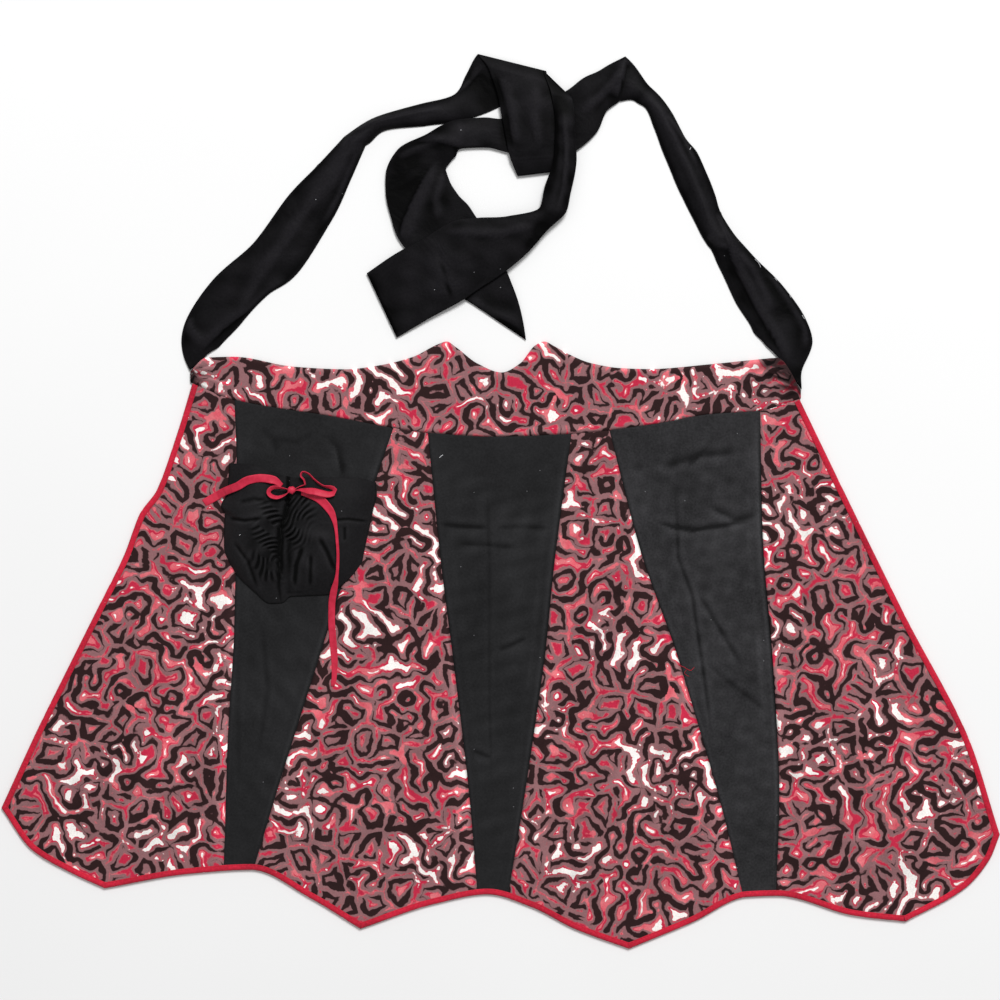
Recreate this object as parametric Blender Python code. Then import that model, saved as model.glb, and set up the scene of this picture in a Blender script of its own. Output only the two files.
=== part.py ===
"""Half waist apron, laid out flat on its back with its two ties thrown over above the band.

The skirt is seven flared panels, four printed and three black, sewn side by side. A folded red
binding holds their outer edge, and a folded waistband holds their top. A gathered black pocket and
a small red bow sit on the left gore. X runs along the band, Y from the hem to the ties, Z upwards.
"""

import math

import bmesh
import bpy
import numpy as np
from mathutils.bvhtree import BVHTree

# Cloth and clearances, in metres
CLOTH = 0.0012
FOLD_CLOTH = 0.001
GAP = 0.0003
SEAM_GAP = 0.0003
TIE_CLEARANCE = 0.0006

# Skirt and waistband
HEM_WIDTH = 0.798
SKIRT_DROP = 0.4094
BAND_WIDTH = 0.488
BAND_HEIGHT = 0.076
BAND_OFFSET = -0.004
SEAM_ALLOWANCE = 0.004
SLOT_SPARE = 0.0015
BINDING_WIDTH = 0.0048
LIFT_REACH = 0.035

# Ties
TIE_WIDTH = 0.058
TIE_RISE = 0.254
TIE_START_GAP = 0.0007

# Pocket, measured from the left end of the band
POCKET_WIDTH = 0.1176
POCKET_HEIGHT = 0.1128
POCKET_PUFF = 0.014
POCKET_IN = 0.031
POCKET_DOWN = 0.0647

# Ribbon
RIBBON_WIDTH = 0.0065
RIBBON_CLOTH = 0.0008
RIBBON_SEAT = 0.0004
RIBBON_REACH = 0.004
LOOP_HEIGHT = 0.004
KNOT_SIZE = (0.0085, 0.0065, 0.0045)
KNOT_AT = 0.43
KNOT_DOWN = 0.19

# Colour, roughness of each cloth
BLACK_COTTON = ((0.018, 0.018, 0.020, 1.0), 0.85)
PRINTED_COTTON = ((0.33, 0.13, 0.15, 1.0), 0.8)
RED_COTTON = ((0.55, 0.012, 0.030, 1.0), 0.7)

# Waistband's lower edge: across, share of half the band; rise, share of the band's height
WAIST_SEAM = [
    (-1.0, 0.57), (-0.86, 0.39), (-0.54, 0.215), (-0.22, 0.04), (0.0, 0.0),
    (0.25, 0.03), (0.52, 0.133), (0.7, 0.235), (0.87, 0.275), (1.0, 0.40),
]

# Waistband's upper edge, with its two rounded points: across, rise, as above
BAND_TOP = [
    (-1.0, 0.69), (-0.95, 0.83), (-0.86, 0.84), (-0.66, 0.735), (-0.49, 0.708), (-0.38, 0.75),
    (-0.27, 0.84), (-0.19, 0.97), (-0.16, 1.0), (-0.13, 0.94), (-0.06, 0.77), (0.02, 0.675),
    (0.08, 0.77), (0.13, 0.96), (0.16, 1.0), (0.19, 0.955), (0.24, 0.866), (0.31, 0.775),
    (0.41, 0.72), (0.5, 0.71), (0.7, 0.76), (0.84, 0.805), (0.926, 0.828), (1.0, 0.49),
]

# Hem between its sharp points: across, share of half the hem; drop, share of the skirt's drop
HEM_STRETCHES = [
    [(-1.0, 0.725), (-0.94, 0.806), (-0.86, 0.852), (-0.793, 0.882)],
    [(-0.793, 0.882), (-0.625, 0.854), (-0.5, 0.846), (-0.38, 0.902), (-0.281, 0.961)],
    [(-0.281, 0.961), (-0.13, 0.912), (-0.026, 0.894), (0.06, 0.918), (0.15, 0.962), (0.257, 1.0)],
    [(0.257, 1.0), (0.385, 0.948), (0.494, 0.899), (0.554, 0.897), (0.71, 0.936), (0.811, 0.947)],
    [(0.811, 0.947), (0.93, 0.882), (0.98, 0.825), (1.0, 0.777)],
]

# Seams and side edges, left to right: place on the waist seam, share of half the band; place on the
# hem, share of half the hem; then rows of (down, sideways), shares of the seam and of the hem's width
SEAMS = [
    (-0.993, -1.0, [(0, 0), (0.13, 0.008), (0.25, 0.0125), (0.31, 0.006), (0.41, 0.009),
                  (0.53, 0.0065), (0.65, 0.004), (0.85, 0.0005), (1, 0)]),
    (-0.855, -0.555, [(0, 0), (0.25, 0.005), (0.5, 0.0045), (0.75, 0.0005), (1, 0)]),
    (-0.335, -0.4955, [(0, 0), (0.25, -0.002), (0.5, -0.0015), (0.75, -0.0015), (1, 0)]),
    (-0.222, -0.046, [(0, 0), (0.25, -0.001), (0.5, 0.001), (0.75, 0.0025), (1, 0)]),
    (0.2485, 0.0143, [(0, 0), (0.25, 0.0005), (0.5, 0.004), (0.75, 0.003), (1, 0)]),
    (0.373, 0.487, [(0, 0), (0.25, -0.0035), (0.5, 0.0035), (0.75, 0.0045), (1, 0)]),
    (0.8665, 0.552, [(0, 0), (0.25, -0.0015), (0.5, 0.004), (0.75, 0.007), (1, 0)]),
    (0.995, 1.0, [(0, 0), (0.25, 0.0025), (0.5, 0.006), (0.75, 0.0135), (1, 0)]),
]

# The panels between those seams, left to right, with the cloth of each
PANELS = [
    ("print_side_left", PRINTED_COTTON),
    ("black_gore_left", BLACK_COTTON),
    ("print_middle_left", PRINTED_COTTON),
    ("black_gore_middle", BLACK_COTTON),
    ("print_middle_right", PRINTED_COTTON),
    ("black_gore_right", BLACK_COTTON),
    ("print_side_right", PRINTED_COTTON),
]
PANEL_ROWS = (0.0, 0.05, 0.13, 0.25, 0.31, 0.41, 0.53, 0.65, 0.76, 0.85, 0.92, 0.97, 1.0)
COLUMN_STEP = 0.062
COLUMNS_LEAST = 4

# Soft creases that stand up from the floor: across and down, shares of half the hem and of the drop;
# turn in degrees; length and breadth, shares of the drop; height in cloth thicknesses
CREASE_ENDS = 3
CREASES = [
    (-0.68, 0.62, 68, 0.30, 0.050, 2.2),
    (-0.22, 0.55, 80, 0.34, 0.055, 1.8),
    (0.03, 0.30, 92, 0.22, 0.045, 1.4),
    (0.26, 0.62, 84, 0.34, 0.060, 2.0),
    (0.53, 0.45, 112, 0.26, 0.050, 2.0),
    (0.76, 0.58, 118, 0.34, 0.060, 2.6),
]

# Each tie from the band's end on: across, share of half the band; up, share of the rise; turn of the
# section in degrees; width, share of the tie's; level, in layers of cloth; crown, share of the width
TIE_LEFT = [
    (-0.965, 0.080, 1, 0.54, 0.0, 0.03), (-0.919, 0.164, -6, 0.76, 0.0, 0.03),
    (-0.837, 0.263, -15, 0.79, 0.0, 0.03), (-0.729, 0.348, -30, 0.75, 0.0, 0.04),
    (-0.612, 0.509, -25, 0.70, 0.0, 0.05), (-0.529, 0.625, -24, 0.50, 0.0, 0.09),
    (-0.461, 0.724, -22, 0.32, 0.0, 0.12), (-0.373, 0.780, -70, 0.22, 0.0, 0.10),
    (-0.242, 0.806, -80, 0.31, 0.0, 0.08), (-0.132, 0.827, -74, 0.36, 0.0, 0.04),
    (-0.042, 0.882, -43, 0.64, 0.0, 0.0), (0.053, 0.969, -14, 0.97, 1.3, 0.0),
    (0.073, 0.932, -15, 0.86, 2.2, 0.02), (0.112, 0.843, 1, 0.83, 2.2, 0.04),
    (0.121, 0.718, 5, 0.70, 2.2, 0.02), (0.122, 0.669, 4, 0.60, 2.2, 0.0),
    (0.127, 0.620, 7, 0.46, 1.0, 0.0), (0.127, 0.663, 5, 0.48, 0.0, 0.0),
    (0.140, 0.739, 18, 0.50, 0.0, 0.0), (0.183, 0.815, 12, 0.39, 0.0, 0.0),
    (0.208, 0.868, 5, 0.31, 0.0, 0.0), (0.219, 0.908, -6, 0.31, 1.8, 0.0),
    (0.230, 0.865, -3, 0.28, 3.6, 0.0), (0.238, 0.778, 0, 0.20, 3.6, 0.04),
    (0.238, 0.674, 0, 0.22, 3.6, 0.04), (0.205, 0.569, -7, 0.34, 3.4, 0.04),
    (0.188, 0.507, -9, 0.36, 3.2, 0.04), (0.106, 0.463, -21, 0.55, 3.0, 0.03),
    (0.019, 0.420, -41, 0.80, 2.8, 0.03), (-0.089, 0.370, -60, 0.98, 2.6, 0.02),
    (-0.171, 0.320, -64, 1.0, 2.4, 0.02), (-0.274, 0.266, -66, 1.0, 1.6, 0.01),
    (-0.373, 0.206, -65, 0.97, 0.6, 0.0),
]
TIE_RIGHT = [
    (0.942, 0.047, -34, 0.64, 0.4, 0.02), (0.939, 0.107, -15, 0.86, 0.0, 0.03),
    (0.899, 0.195, -13, 0.99, 0.0, 0.03), (0.839, 0.294, -15, 0.90, 0.0, 0.04),
    (0.785, 0.362, -12, 0.65, 0.0, 0.07), (0.734, 0.420, 12, 0.42, 0.0, 0.11),
    (0.698, 0.479, 25, 0.38, 0.0, 0.10), (0.670, 0.543, 17, 0.43, 0.0, 0.08),
    (0.642, 0.605, 10, 0.46, 0.0, 0.07), (0.609, 0.679, 5, 0.46, 0.0, 0.07),
    (0.571, 0.748, -12, 0.42, 0.0, 0.08), (0.532, 0.825, -1, 0.33, 0.0, 0.08),
    (0.490, 0.880, 40, 0.38, 0.0, 0.07), (0.421, 0.923, 73, 0.58, 0.5, 0.04),
    (0.358, 0.890, 98, 0.60, 1.0, 0.03), (0.309, 0.828, 104, 0.70, 1.1, 0.02),
    (0.244, 0.765, 96, 0.73, 1.1, 0.0), (0.153, 0.748, 96, 0.60, 1.1, 0.0),
    (0.040, 0.740, 100, 0.48, 1.1, 0.0), (-0.033, 0.750, 96, 0.42, 1.1, 0.03),
    (-0.115, 0.746, 96, 0.41, 1.1, 0.06), (-0.178, 0.710, 140, 0.50, 1.1, 0.05),
    (-0.237, 0.674, 165, 0.74, 1.1, 0.03), (-0.261, 0.627, 182, 0.83, 1.1, 0.02),
    (-0.255, 0.576, 192, 0.90, 1.1, 0.01), (-0.232, 0.517, 199, 0.98, 1.1, 0.0),
    (-0.198, 0.460, 203, 1.08, 1.1, 0.0), (-0.115, 0.351, 200, 1.02, 1.1, 0.0),
    (-0.053, 0.258, 180, 0.95, 1.0, 0.0), (0.004, 0.159, 146, 0.97, 0.3, 0.0),
]
TIE_ACROSS = (-1.0, -0.5, 0.0, 0.5, 1.0)
TIE_STEPS = 2

# The pocket's four edges, shares of its width from the left and of its height from the top
POCKET_LEFT = [(0.0, 0.0), (-0.005, 0.11), (-0.02, 0.22), (-0.055, 0.30), (-0.03, 0.36),
               (-0.035, 0.47), (-0.034, 0.60), (0.01, 0.72)]
POCKET_RIGHT = [(1.0, 0.135), (1.005, 0.22), (0.98, 0.33), (0.96, 0.43), (0.93, 0.57), (0.905, 0.70)]
POCKET_TOP = [(0.0, 0.0), (0.15, 0.005), (0.29, 0.055), (0.39, 0.09), (0.48, 0.10),
              (0.7, 0.10), (0.85, 0.10), (1.0, 0.135)]
POCKET_FOOT = [(0.01, 0.72), (0.07, 0.81), (0.18, 0.92), (0.28, 0.995), (0.36, 0.99), (0.42, 0.945),
               (0.54, 0.94), (0.66, 0.935), (0.76, 0.87), (0.84, 0.79), (0.905, 0.70)]
POCKET_COLUMNS = 18
POCKET_ROWS = 12

# The pocket's channel, its height at the mouth, the row where it is fullest and how round its lobes
# are; heights are shares of its puff, places and breadths shares of its width and height
POCKET_CHANNEL = 0.41
CHANNEL_HEIGHT = 0.2
CHANNEL_BREADTH = 0.05
POCKET_MOUTH = 0.7
POCKET_FULLEST = 0.35
LOBE_ROUND = 0.75
FOOT_ROUND = 0.7

# Gathers that run out from the pocket's channel: side, down, turn towards the foot in degrees, length,
# height, with lengths as shares of the pocket's width and the height as a share of its puff
GATHERS = [
    (-1, 0.34, 10, 0.30, 0.16), (-1, 0.50, 30, 0.34, 0.16), (-1, 0.68, 45, 0.28, 0.12),
    (1, 0.36, -20, 0.26, 0.14), (1, 0.46, 15, 0.36, 0.16), (1, 0.62, 40, 0.30, 0.14),
]
GATHER_BREADTH = 0.045
GATHER_ENDS = 6

# Bow loops seen from above, from the knot and back: across and up, in ribbon widths
LOOP_LEFT = [(-0.3, 0.1), (-1.4, 0.45), (-2.7, 0.55), (-3.1, 0.1), (-2.4, -0.55), (-1.3, -0.75), (-0.3, -0.3)]
LOOP_RIGHT = [(0.3, 0.2), (0.9, 0.9), (1.6, 1.9), (2.3, 2.1), (3.4, 1.4), (4.7, 0.5), (5.2, -0.2),
              (4.6, -0.7), (3.2, -0.6), (1.6, -0.5), (0.3, -0.2)]

# The ribbon's two tails, from the knot on: across and up from the knot, in metres, as laid
TAIL_LEFT = [
    (-0.0078, 0.0035), (-0.0145, 0.0082), (-0.024, 0.0095), (-0.0335, 0.008), (-0.043, 0.003),
    (-0.0535, -0.001), (-0.063, -0.006), (-0.0705, -0.0105),
]
TAIL_RIGHT = [
    (0.0078, -0.0022), (0.012, -0.0026), (0.0193, -0.0055), (0.0265, -0.0115), (0.032, -0.0195),
    (0.0345, -0.029), (0.0355, -0.041), (0.0362, -0.052), (0.036, -0.062), (0.035, -0.072),
    (0.033, -0.082), (0.0315, -0.092), (0.0313, -0.104), (0.032, -0.116), (0.033, -0.128),
    (0.0337, -0.140), (0.0334, -0.150), (0.0325, -0.157),
]
TAIL_STEP = 0.006

BINDING_TALL = CLOTH + 2 * GAP + 2 * FOLD_CLOTH
EDGE_INSET = FOLD_CLOTH + GAP
EDGE_LIFT = FOLD_CLOTH + GAP
LAYER = CLOTH + TIE_CLEARANCE


def clear_scene():
    """Take every object out of the scene."""
    for item in list(bpy.data.objects):
        bpy.data.objects.remove(item, do_unlink=True)


def eased(rows, at):
    """Read the second column at places on the first: a cubic from row to row that never overshoots."""
    place, value = np.array(rows, float).T
    chord = np.diff(value) / np.diff(place)
    before, after = np.r_[chord[0], chord], np.r_[chord, chord[-1]]
    same_way = before * after > 0
    slope = np.where(same_way, 2 * before * after / np.where(same_way, before + after, 1.0), 0.0)
    at = np.clip(at, place[0], place[-1])
    low = np.clip(np.searchsorted(place, at) - 1, 0, len(place) - 2)
    step = place[low + 1] - place[low]
    t = (at - place[low]) / step
    from_low = (1 + 2 * t) * (1 - t) ** 2 * value[low] + t * (1 - t) ** 2 * step * slope[low]
    from_high = t * t * (3 - 2 * t) * value[low + 1] - t * t * (1 - t) * step * slope[low + 1]
    return from_low + from_high


def rounded(points, count):
    """Spread count places evenly along a smooth curve through the points, given as rows of any width."""
    points = np.array(points, float)
    run = np.r_[0, np.cumsum(np.linalg.norm(np.diff(points[:, :2], axis=0), axis=1))]
    at = np.linspace(0, run[-1], count)
    return np.stack([eased(np.c_[run, column], at) for column in points.T], axis=-1)


def waist_height(across):
    """Y of the waist seam, from zero at its lowest."""
    return BAND_HEIGHT * eased(WAIST_SEAM, across)


def band_x(across):
    return BAND_OFFSET + across * BAND_WIDTH / 2


def hem_point(across):
    """X and Y on the hem, whose stretches meet in sharp points."""
    across = np.atleast_1d(np.asarray(across, float))
    drop = np.zeros(len(across))
    for rows in HEM_STRETCHES:
        inside = (across >= rows[0][0] - 1e-9) & (across <= rows[-1][0] + 1e-9)
        drop[inside] = eased(rows, across[inside])
    return np.stack([across * HEM_WIDTH / 2, -drop * SKIRT_DROP], axis=-1)


def seam_line(seam, down):
    """Places on a seam at the shares of its way down."""
    waist, hem, bow = seam
    down = np.asarray(down, float)
    top = np.array([band_x(waist), waist_height(waist)])
    foot = hem_point(hem)[0]
    line = top + (foot - top) * down[:, None]
    line[:, 0] += eased(bow, down) * HEM_WIDTH
    return line


def panel_columns(left, right):
    """Shares across a panel: even steps along its hem, with a column on each sharp point."""
    sharp = [rows[0][0] for rows in HEM_STRETCHES[1:] if left < rows[0][0] < right]
    stops = [left, *sharp, right]
    steps = [max(1, round((b - a) / COLUMN_STEP)) for a, b in zip(stops, stops[1:])]
    if sum(steps) < COLUMNS_LEAST:
        steps[-1] += COLUMNS_LEAST - sum(steps)
    parts = [np.linspace(a, b, n + 1)[:-1] for a, b, n in zip(stops, stops[1:], steps)]
    return (np.r_[np.concatenate(parts), right] - left) / (right - left)


def panel_plan(left, right, columns):
    """Grid of places on a panel, rows down and columns across, between its seams, waist and hem."""
    rows = np.array(PANEL_ROWS)
    a, b = seam_line(left, rows), seam_line(right, rows)
    grid = a[:, None] + (b - a)[:, None] * columns[None, :, None]
    waist = left[0] + (right[0] - left[0]) * columns
    top = np.stack([band_x(waist), waist_height(waist)], axis=-1)
    foot = hem_point(left[1] + (right[1] - left[1]) * columns)
    near_top, near_foot = (1 - rows) ** 2, rows**4
    grid = grid + near_top[:, None, None] * (top - grid[0]) + near_foot[:, None, None] * (foot - grid[-1])
    return grid


def crease_height(x, y):
    """Height of the soft creases: a bell across each, fading towards its ends."""
    height = np.zeros(np.shape(x))
    for across, down, turn, length, breadth, tall in CREASES:
        along = np.array([math.cos(math.radians(turn)), math.sin(math.radians(turn))])
        dx = x - across * HEM_WIDTH / 2
        dy = y + down * SKIRT_DROP
        run = (dx * along[0] + dy * along[1]) / (length * SKIRT_DROP)
        off = (dy * along[0] - dx * along[1]) / (breadth * SKIRT_DROP)
        height += tall * CLOTH * np.exp(-(run**2) * CREASE_ENDS - off**2)
    return height


def edge_lift(distance):
    """Height of the cloth's underside near a folded edge, which holds it up off the floor."""
    t = np.clip(distance / LIFT_REACH, 0, 1)
    return EDGE_LIFT * (1 - t * t * (3 - 2 * t))


def mesh_object(name, verts, faces, cloth):
    """Make one closed body with its faces pointing out, and give it its cloth."""
    mesh = bpy.data.meshes.new(name)
    mesh.from_pydata([tuple(v) for v in verts], [], [tuple(f) for f in faces])
    work = bmesh.new()
    work.from_mesh(mesh)
    bmesh.ops.recalc_face_normals(work, faces=work.faces[:])
    work.to_mesh(mesh)
    work.free()
    item = bpy.data.objects.new(name, mesh)
    bpy.context.scene.collection.objects.link(item)
    item.data.materials.append(cloth_material(name, *cloth))
    return item


def cloth_material(name, colour, roughness):
    """A plain cloth for one piece."""
    material = bpy.data.materials.new(name + "_cloth")
    material.use_nodes = True
    shader = material.node_tree.nodes["Principled BSDF"]
    shader.inputs["Base Color"].default_value = colour
    shader.inputs["Roughness"].default_value = roughness
    shader.inputs["Metallic"].default_value = 0.0
    return material


def slab(name, low, high, cloth):
    """Close two facing grids of points, rows by columns, with walls round their four edges."""
    rows, columns = low.shape[:2]
    number = np.arange(rows * columns).reshape(rows, columns)
    over = number + rows * columns
    a, b, c, d = number[:-1, :-1], number[:-1, 1:], number[1:, 1:], number[1:, :-1]
    under = np.stack([a, b, c, d], axis=-1).reshape(-1, 4)
    upper = under[:, ::-1] + rows * columns
    rim = np.concatenate([number[0], number[1:, -1], number[-1, -2::-1], number[-2:0:-1, 0]])
    rim_over = np.concatenate([over[0], over[1:, -1], over[-1, -2::-1], over[-2:0:-1, 0]])
    walls = np.stack([rim, rim_over, np.roll(rim_over, -1), np.roll(rim, -1)], axis=-1)
    verts = np.concatenate([low.reshape(-1, 3), high.reshape(-1, 3)])
    mesh_object(name, verts, np.concatenate([under, upper, walls]), cloth)


def swept(name, sections, cloth, ring=False):
    """Join equal closed sections into a tube with capped ends, or into a ring."""
    stations, corners = sections.shape[:2]
    number = np.arange(stations * corners).reshape(stations, corners)
    following = np.roll(number, -1, axis=0) if ring else number[1:]
    current = number if ring else number[:-1]
    turned, turned_next = np.roll(current, -1, axis=1), np.roll(following, -1, axis=1)
    sides = np.stack([current, turned, turned_next, following], axis=-1).reshape(-1, 4)
    faces = [tuple(f) for f in sides]
    if not ring:
        faces += [tuple(number[0][::-1]), tuple(number[-1])]
    return mesh_object(name, sections.reshape(-1, 3), faces, cloth)


def inward(line):
    """Miter directions across a line of places, to its left, for a set-in of one unit."""
    step = np.diff(line, axis=0)
    step /= np.linalg.norm(step, axis=1)[:, None]
    side = np.stack([-step[:, 1], step[:, 0]], axis=-1)
    before, after = np.vstack([side[:1], side]), np.vstack([side, side[-1:]])
    return (before + after) / (1 + (before * after).sum(1))[:, None]


def skirt_outline(plans):
    """Outer edge of the skirt: down its left edge, along the hem and up its right edge."""
    left = plans[0][:-1, 0]
    hem = np.vstack([plan[-1, :-1] for plan in plans] + [plans[-1][-1, -1:]])
    right = plans[-1][-2::-1, -1]
    return np.vstack([left, hem, right])


def outline_sides(line):
    """Directions into the skirt across its outline; at both ends they run along the waist seam."""
    side = inward(line)
    for end, across in ((0, -1.0), (-1, 1.0)):
        inner = across * 0.9
        run = np.array([band_x(inner) - band_x(across), waist_height(inner) - waist_height(across)])
        side[end] = run / abs(run[0])
    return side


def make_panels():
    """Seven panels whose edges sit in the binding, in the band and a seam's gap from each other."""
    columns = [panel_columns(a[1], b[1]) for a, b in zip(SEAMS, SEAMS[1:])]
    plans = [panel_plan(a, b, c) for a, b, c in zip(SEAMS, SEAMS[1:], columns)]
    outline = skirt_outline(plans)
    set_in = outline + outline_sides(outline) * EDGE_INSET
    side_rows = len(PANEL_ROWS) - 1
    start = side_rows
    for number, ((name, cloth), plan) in enumerate(zip(PANELS, plans)):
        edged = plan.copy()
        count = plan.shape[1]
        edged[-1] = set_in[start:start + count]
        start += count - 1
        if number == 0:
            edged[:-1, 0] = set_in[:side_rows]
        if number == len(PANELS) - 1:
            edged[:-1, -1] = set_in[-side_rows:][::-1]
        along_first = edged[:, 1] - edged[:, 0]
        along_last = edged[:, -2] - edged[:, -1]
        half = SEAM_GAP / 2
        if number > 0:
            edged[:, 0] += along_first / np.linalg.norm(along_first, axis=1)[:, None] * half
        if number < len(PANELS) - 1:
            edged[:, -1] += along_last / np.linalg.norm(along_last, axis=1)[:, None] * half
        far = np.full(plan.shape[:2], LIFT_REACH)
        length = np.linalg.norm(plan[-1] - plan[0], axis=1)[None]
        rows = np.array(PANEL_ROWS)[:, None]
        far = np.minimum(far, np.minimum(rows * length, (1 - rows) * length))
        if number == 0:
            far = np.minimum(far, np.linalg.norm(plan - plan[:, :1], axis=-1))
        if number == len(PANELS) - 1:
            far = np.minimum(far, np.linalg.norm(plan - plan[:, -1:], axis=-1))
        free = np.clip(far / LIFT_REACH, 0, 1)
        lift = edge_lift(far) + crease_height(edged[..., 0], edged[..., 1]) * free
        low = np.concatenate([edged, lift[..., None]], axis=-1)
        held = low[:1] + np.array([0.0, SEAM_ALLOWANCE, 0.0])
        low = np.concatenate([held, low])
        slab(name, low, low + np.array([0.0, 0.0, CLOTH]), cloth)
    return outline


def make_binding(outline):
    """Folded strip round the skirt's outer edge, open towards the cloth that it holds."""
    side = outline_sides(outline)
    line = outline.copy()
    line[0, 1] -= GAP
    line[-1, 1] -= GAP
    wide, tall, fold = BINDING_WIDTH, BINDING_TALL, FOLD_CLOTH
    profile = [(0, 0), (wide, 0), (wide, fold), (fold, fold), (fold, tall - fold), (wide, tall - fold),
               (wide, tall), (0, tall)]
    sections = np.zeros((len(line), len(profile), 3))
    for corner, (inset, height) in enumerate(profile):
        sections[:, corner, :2] = line + side * inset
        sections[:, corner, 2] = height
    swept("edge_binding", sections, RED_COTTON)


def make_waistband():
    """Folded band with two rounded points and straight slanted ends, open below to hold the panels."""
    rows = np.array([row[0] for row in BAND_TOP])
    across = np.sort(np.r_[rows, (rows[1:-2] + rows[2:-1]) / 2])
    seam = waist_height(across)
    top = BAND_HEIGHT * eased(BAND_TOP, across)
    slot = seam + SEAM_ALLOWANCE + SLOT_SPARE
    tall, fold = BINDING_TALL, FOLD_CLOTH
    corners = [(seam, 0), (top, 0), (top, tall), (seam, tall), (seam, tall - fold), (slot, tall - fold),
               (slot, fold), (seam, fold)]
    sections = np.zeros((len(across), len(corners), 3))
    for corner, (y, z) in enumerate(corners):
        sections[:, corner] = np.stack([band_x(across), y, np.full(len(across), z)], axis=-1)
    swept("waistband", sections, PRINTED_COTTON)


def tie_start(side):
    """Places of the tie's first section: on the band's slanted end, a small gap away from it."""
    rows = BAND_TOP[:2] if side < 0 else BAND_TOP[-2:]
    ends = np.array([(band_x(across), BAND_HEIGHT * rise) for across, rise in rows])
    step = ends[1] - ends[0]
    away = np.array([-step[1], step[0]]) / np.linalg.norm(step)
    return ends + away * TIE_START_GAP


def make_tie(name, side, rows):
    """Flat strip carried along its folds: each row sets the place, turn, width and level of a section."""
    first = tie_start(side)
    base = BAND_HEIGHT * BAND_TOP[0][1]
    step = first[1] - first[0]
    middle = first.mean(0)
    turn = math.degrees(math.atan2(step[1], step[0]))
    turn -= 360 * round((turn - rows[0][2]) / 360)
    table = [(*middle, turn, np.linalg.norm(step), EDGE_LIFT, 0.0)]
    for across, up, angle, width, level, crown in rows:
        place = (band_x(across), base + up * TIE_RISE)
        table.append((*place, angle, width * TIE_WIDTH, level * LAYER, crown * TIE_WIDTH))
    table = np.array(table)
    at = np.linspace(0, len(table) - 1, (len(table) - 1) * TIE_STEPS + 1)
    number = np.arange(len(table))
    plan = [eased(np.c_[number, column], at) for column in table.T[:4]]
    x, y, angle, width = plan
    level, crown = (np.interp(at, number, column) for column in table.T[4:])
    share = np.array(TIE_ACROSS)
    run = np.stack([np.cos(np.radians(angle)), np.sin(np.radians(angle))], axis=-1)
    mid = np.zeros((len(at), len(share), 3))
    mid[..., :2] = np.stack([x, y], axis=-1)[:, None] + run[:, None] * (share * width[:, None] / 2)[..., None]
    mid[..., 2] = level[:, None] + CLOTH / 2 + crown[:, None] * (1 - share**2)
    along = np.gradient(mid, axis=0)
    over = np.gradient(mid, axis=1)
    normal = np.cross(over, along)
    normal /= np.linalg.norm(normal, axis=-1)[..., None]
    slab(name, mid - normal * CLOTH / 2, mid + normal * CLOTH / 2, BLACK_COTTON)


def pocket_corner():
    """Place of the pocket's upper left corner on the skirt."""
    return np.array([band_x(-1.0) + POCKET_IN, waist_height(-1.0) - POCKET_DOWN])


def pocket_grid():
    """Middle surface of the pocket: a patch between its four edges, two lobes high beside a channel."""
    u = np.linspace(0, 1, POCKET_COLUMNS + 1)
    v = np.linspace(0, 1, POCKET_ROWS + 1)
    left, right = rounded(POCKET_LEFT, len(v)), rounded(POCKET_RIGHT, len(v))
    top, foot = rounded(POCKET_TOP, len(u)), rounded(POCKET_FOOT, len(u))
    uu, vv = u[None, :, None], v[:, None, None]
    plan = (1 - uu) * left[:, None] + uu * right[:, None] + (1 - vv) * top[None] + vv * foot[None]
    plan -= (1 - vv) * ((1 - uu) * top[0] + uu * top[-1]) + vv * ((1 - uu) * foot[0] + uu * foot[-1])
    channel, top_row = POCKET_CHANNEL, POCKET_FULLEST
    share = np.where(u < channel, u / channel, (u - channel) / (1 - channel))
    across = np.abs(np.sin(np.pi * share)) ** LOBE_ROUND
    across += CHANNEL_HEIGHT * np.exp(-(((u - channel) / CHANNEL_BREADTH) ** 2)) * (u > 0) * (u < 1)
    rise = POCKET_MOUTH + (1 - POCKET_MOUTH) * np.sin(np.clip(v / top_row, 0, 1) * np.pi / 2)
    fall = np.cos(np.clip((v - top_row) / (1 - top_row), 0, 1) * np.pi / 2) ** FOOT_ROUND
    full = (rise * fall)[:, None] * across[None]
    height = full.copy()
    for side, down, turn, length, tall in GATHERS:
        lean = math.radians(turn)
        du = (plan[..., 0] - channel) * side
        dv = (plan[..., 1] - down) * POCKET_HEIGHT / POCKET_WIDTH
        run = du * math.cos(lean) + dv * math.sin(lean)
        off = dv * math.cos(lean) - du * math.sin(lean)
        fade = np.exp(-((run / length - 0.5) ** 2) * GATHER_ENDS) * (du > 0)
        height += tall * fade * np.exp(-((off / GATHER_BREADTH) ** 2)) * full
    corner = pocket_corner()
    x = corner[0] + plan[..., 0] * POCKET_WIDTH
    y = corner[1] - plan[..., 1] * POCKET_HEIGHT
    z = CLOTH + GAP + crease_height(x, y) + height * POCKET_PUFF
    return np.stack([x, y, z], axis=-1)


def make_pocket():
    """Gathered patch pocket, sewn down at its sides and foot, with an open mouth at the top."""
    low = pocket_grid()
    slab("heart_pocket", low, low + np.array([0.0, 0.0, CLOTH]), BLACK_COTTON)


def surface_below(pieces):
    """Height of the highest of the pieces under a place, read straight down."""
    trees = []
    for item in pieces:
        corners = [v.co.copy() for v in item.data.vertices]
        trees.append(BVHTree.FromPolygons(corners, [tuple(p.vertices) for p in item.data.polygons]))

    def height(x, y):
        found = [tree.ray_cast((x, y, 1.0), (0.0, 0.0, -1.0))[0] for tree in trees]
        return max([place.z for place in found if place is not None], default=0.0)

    return height


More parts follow.
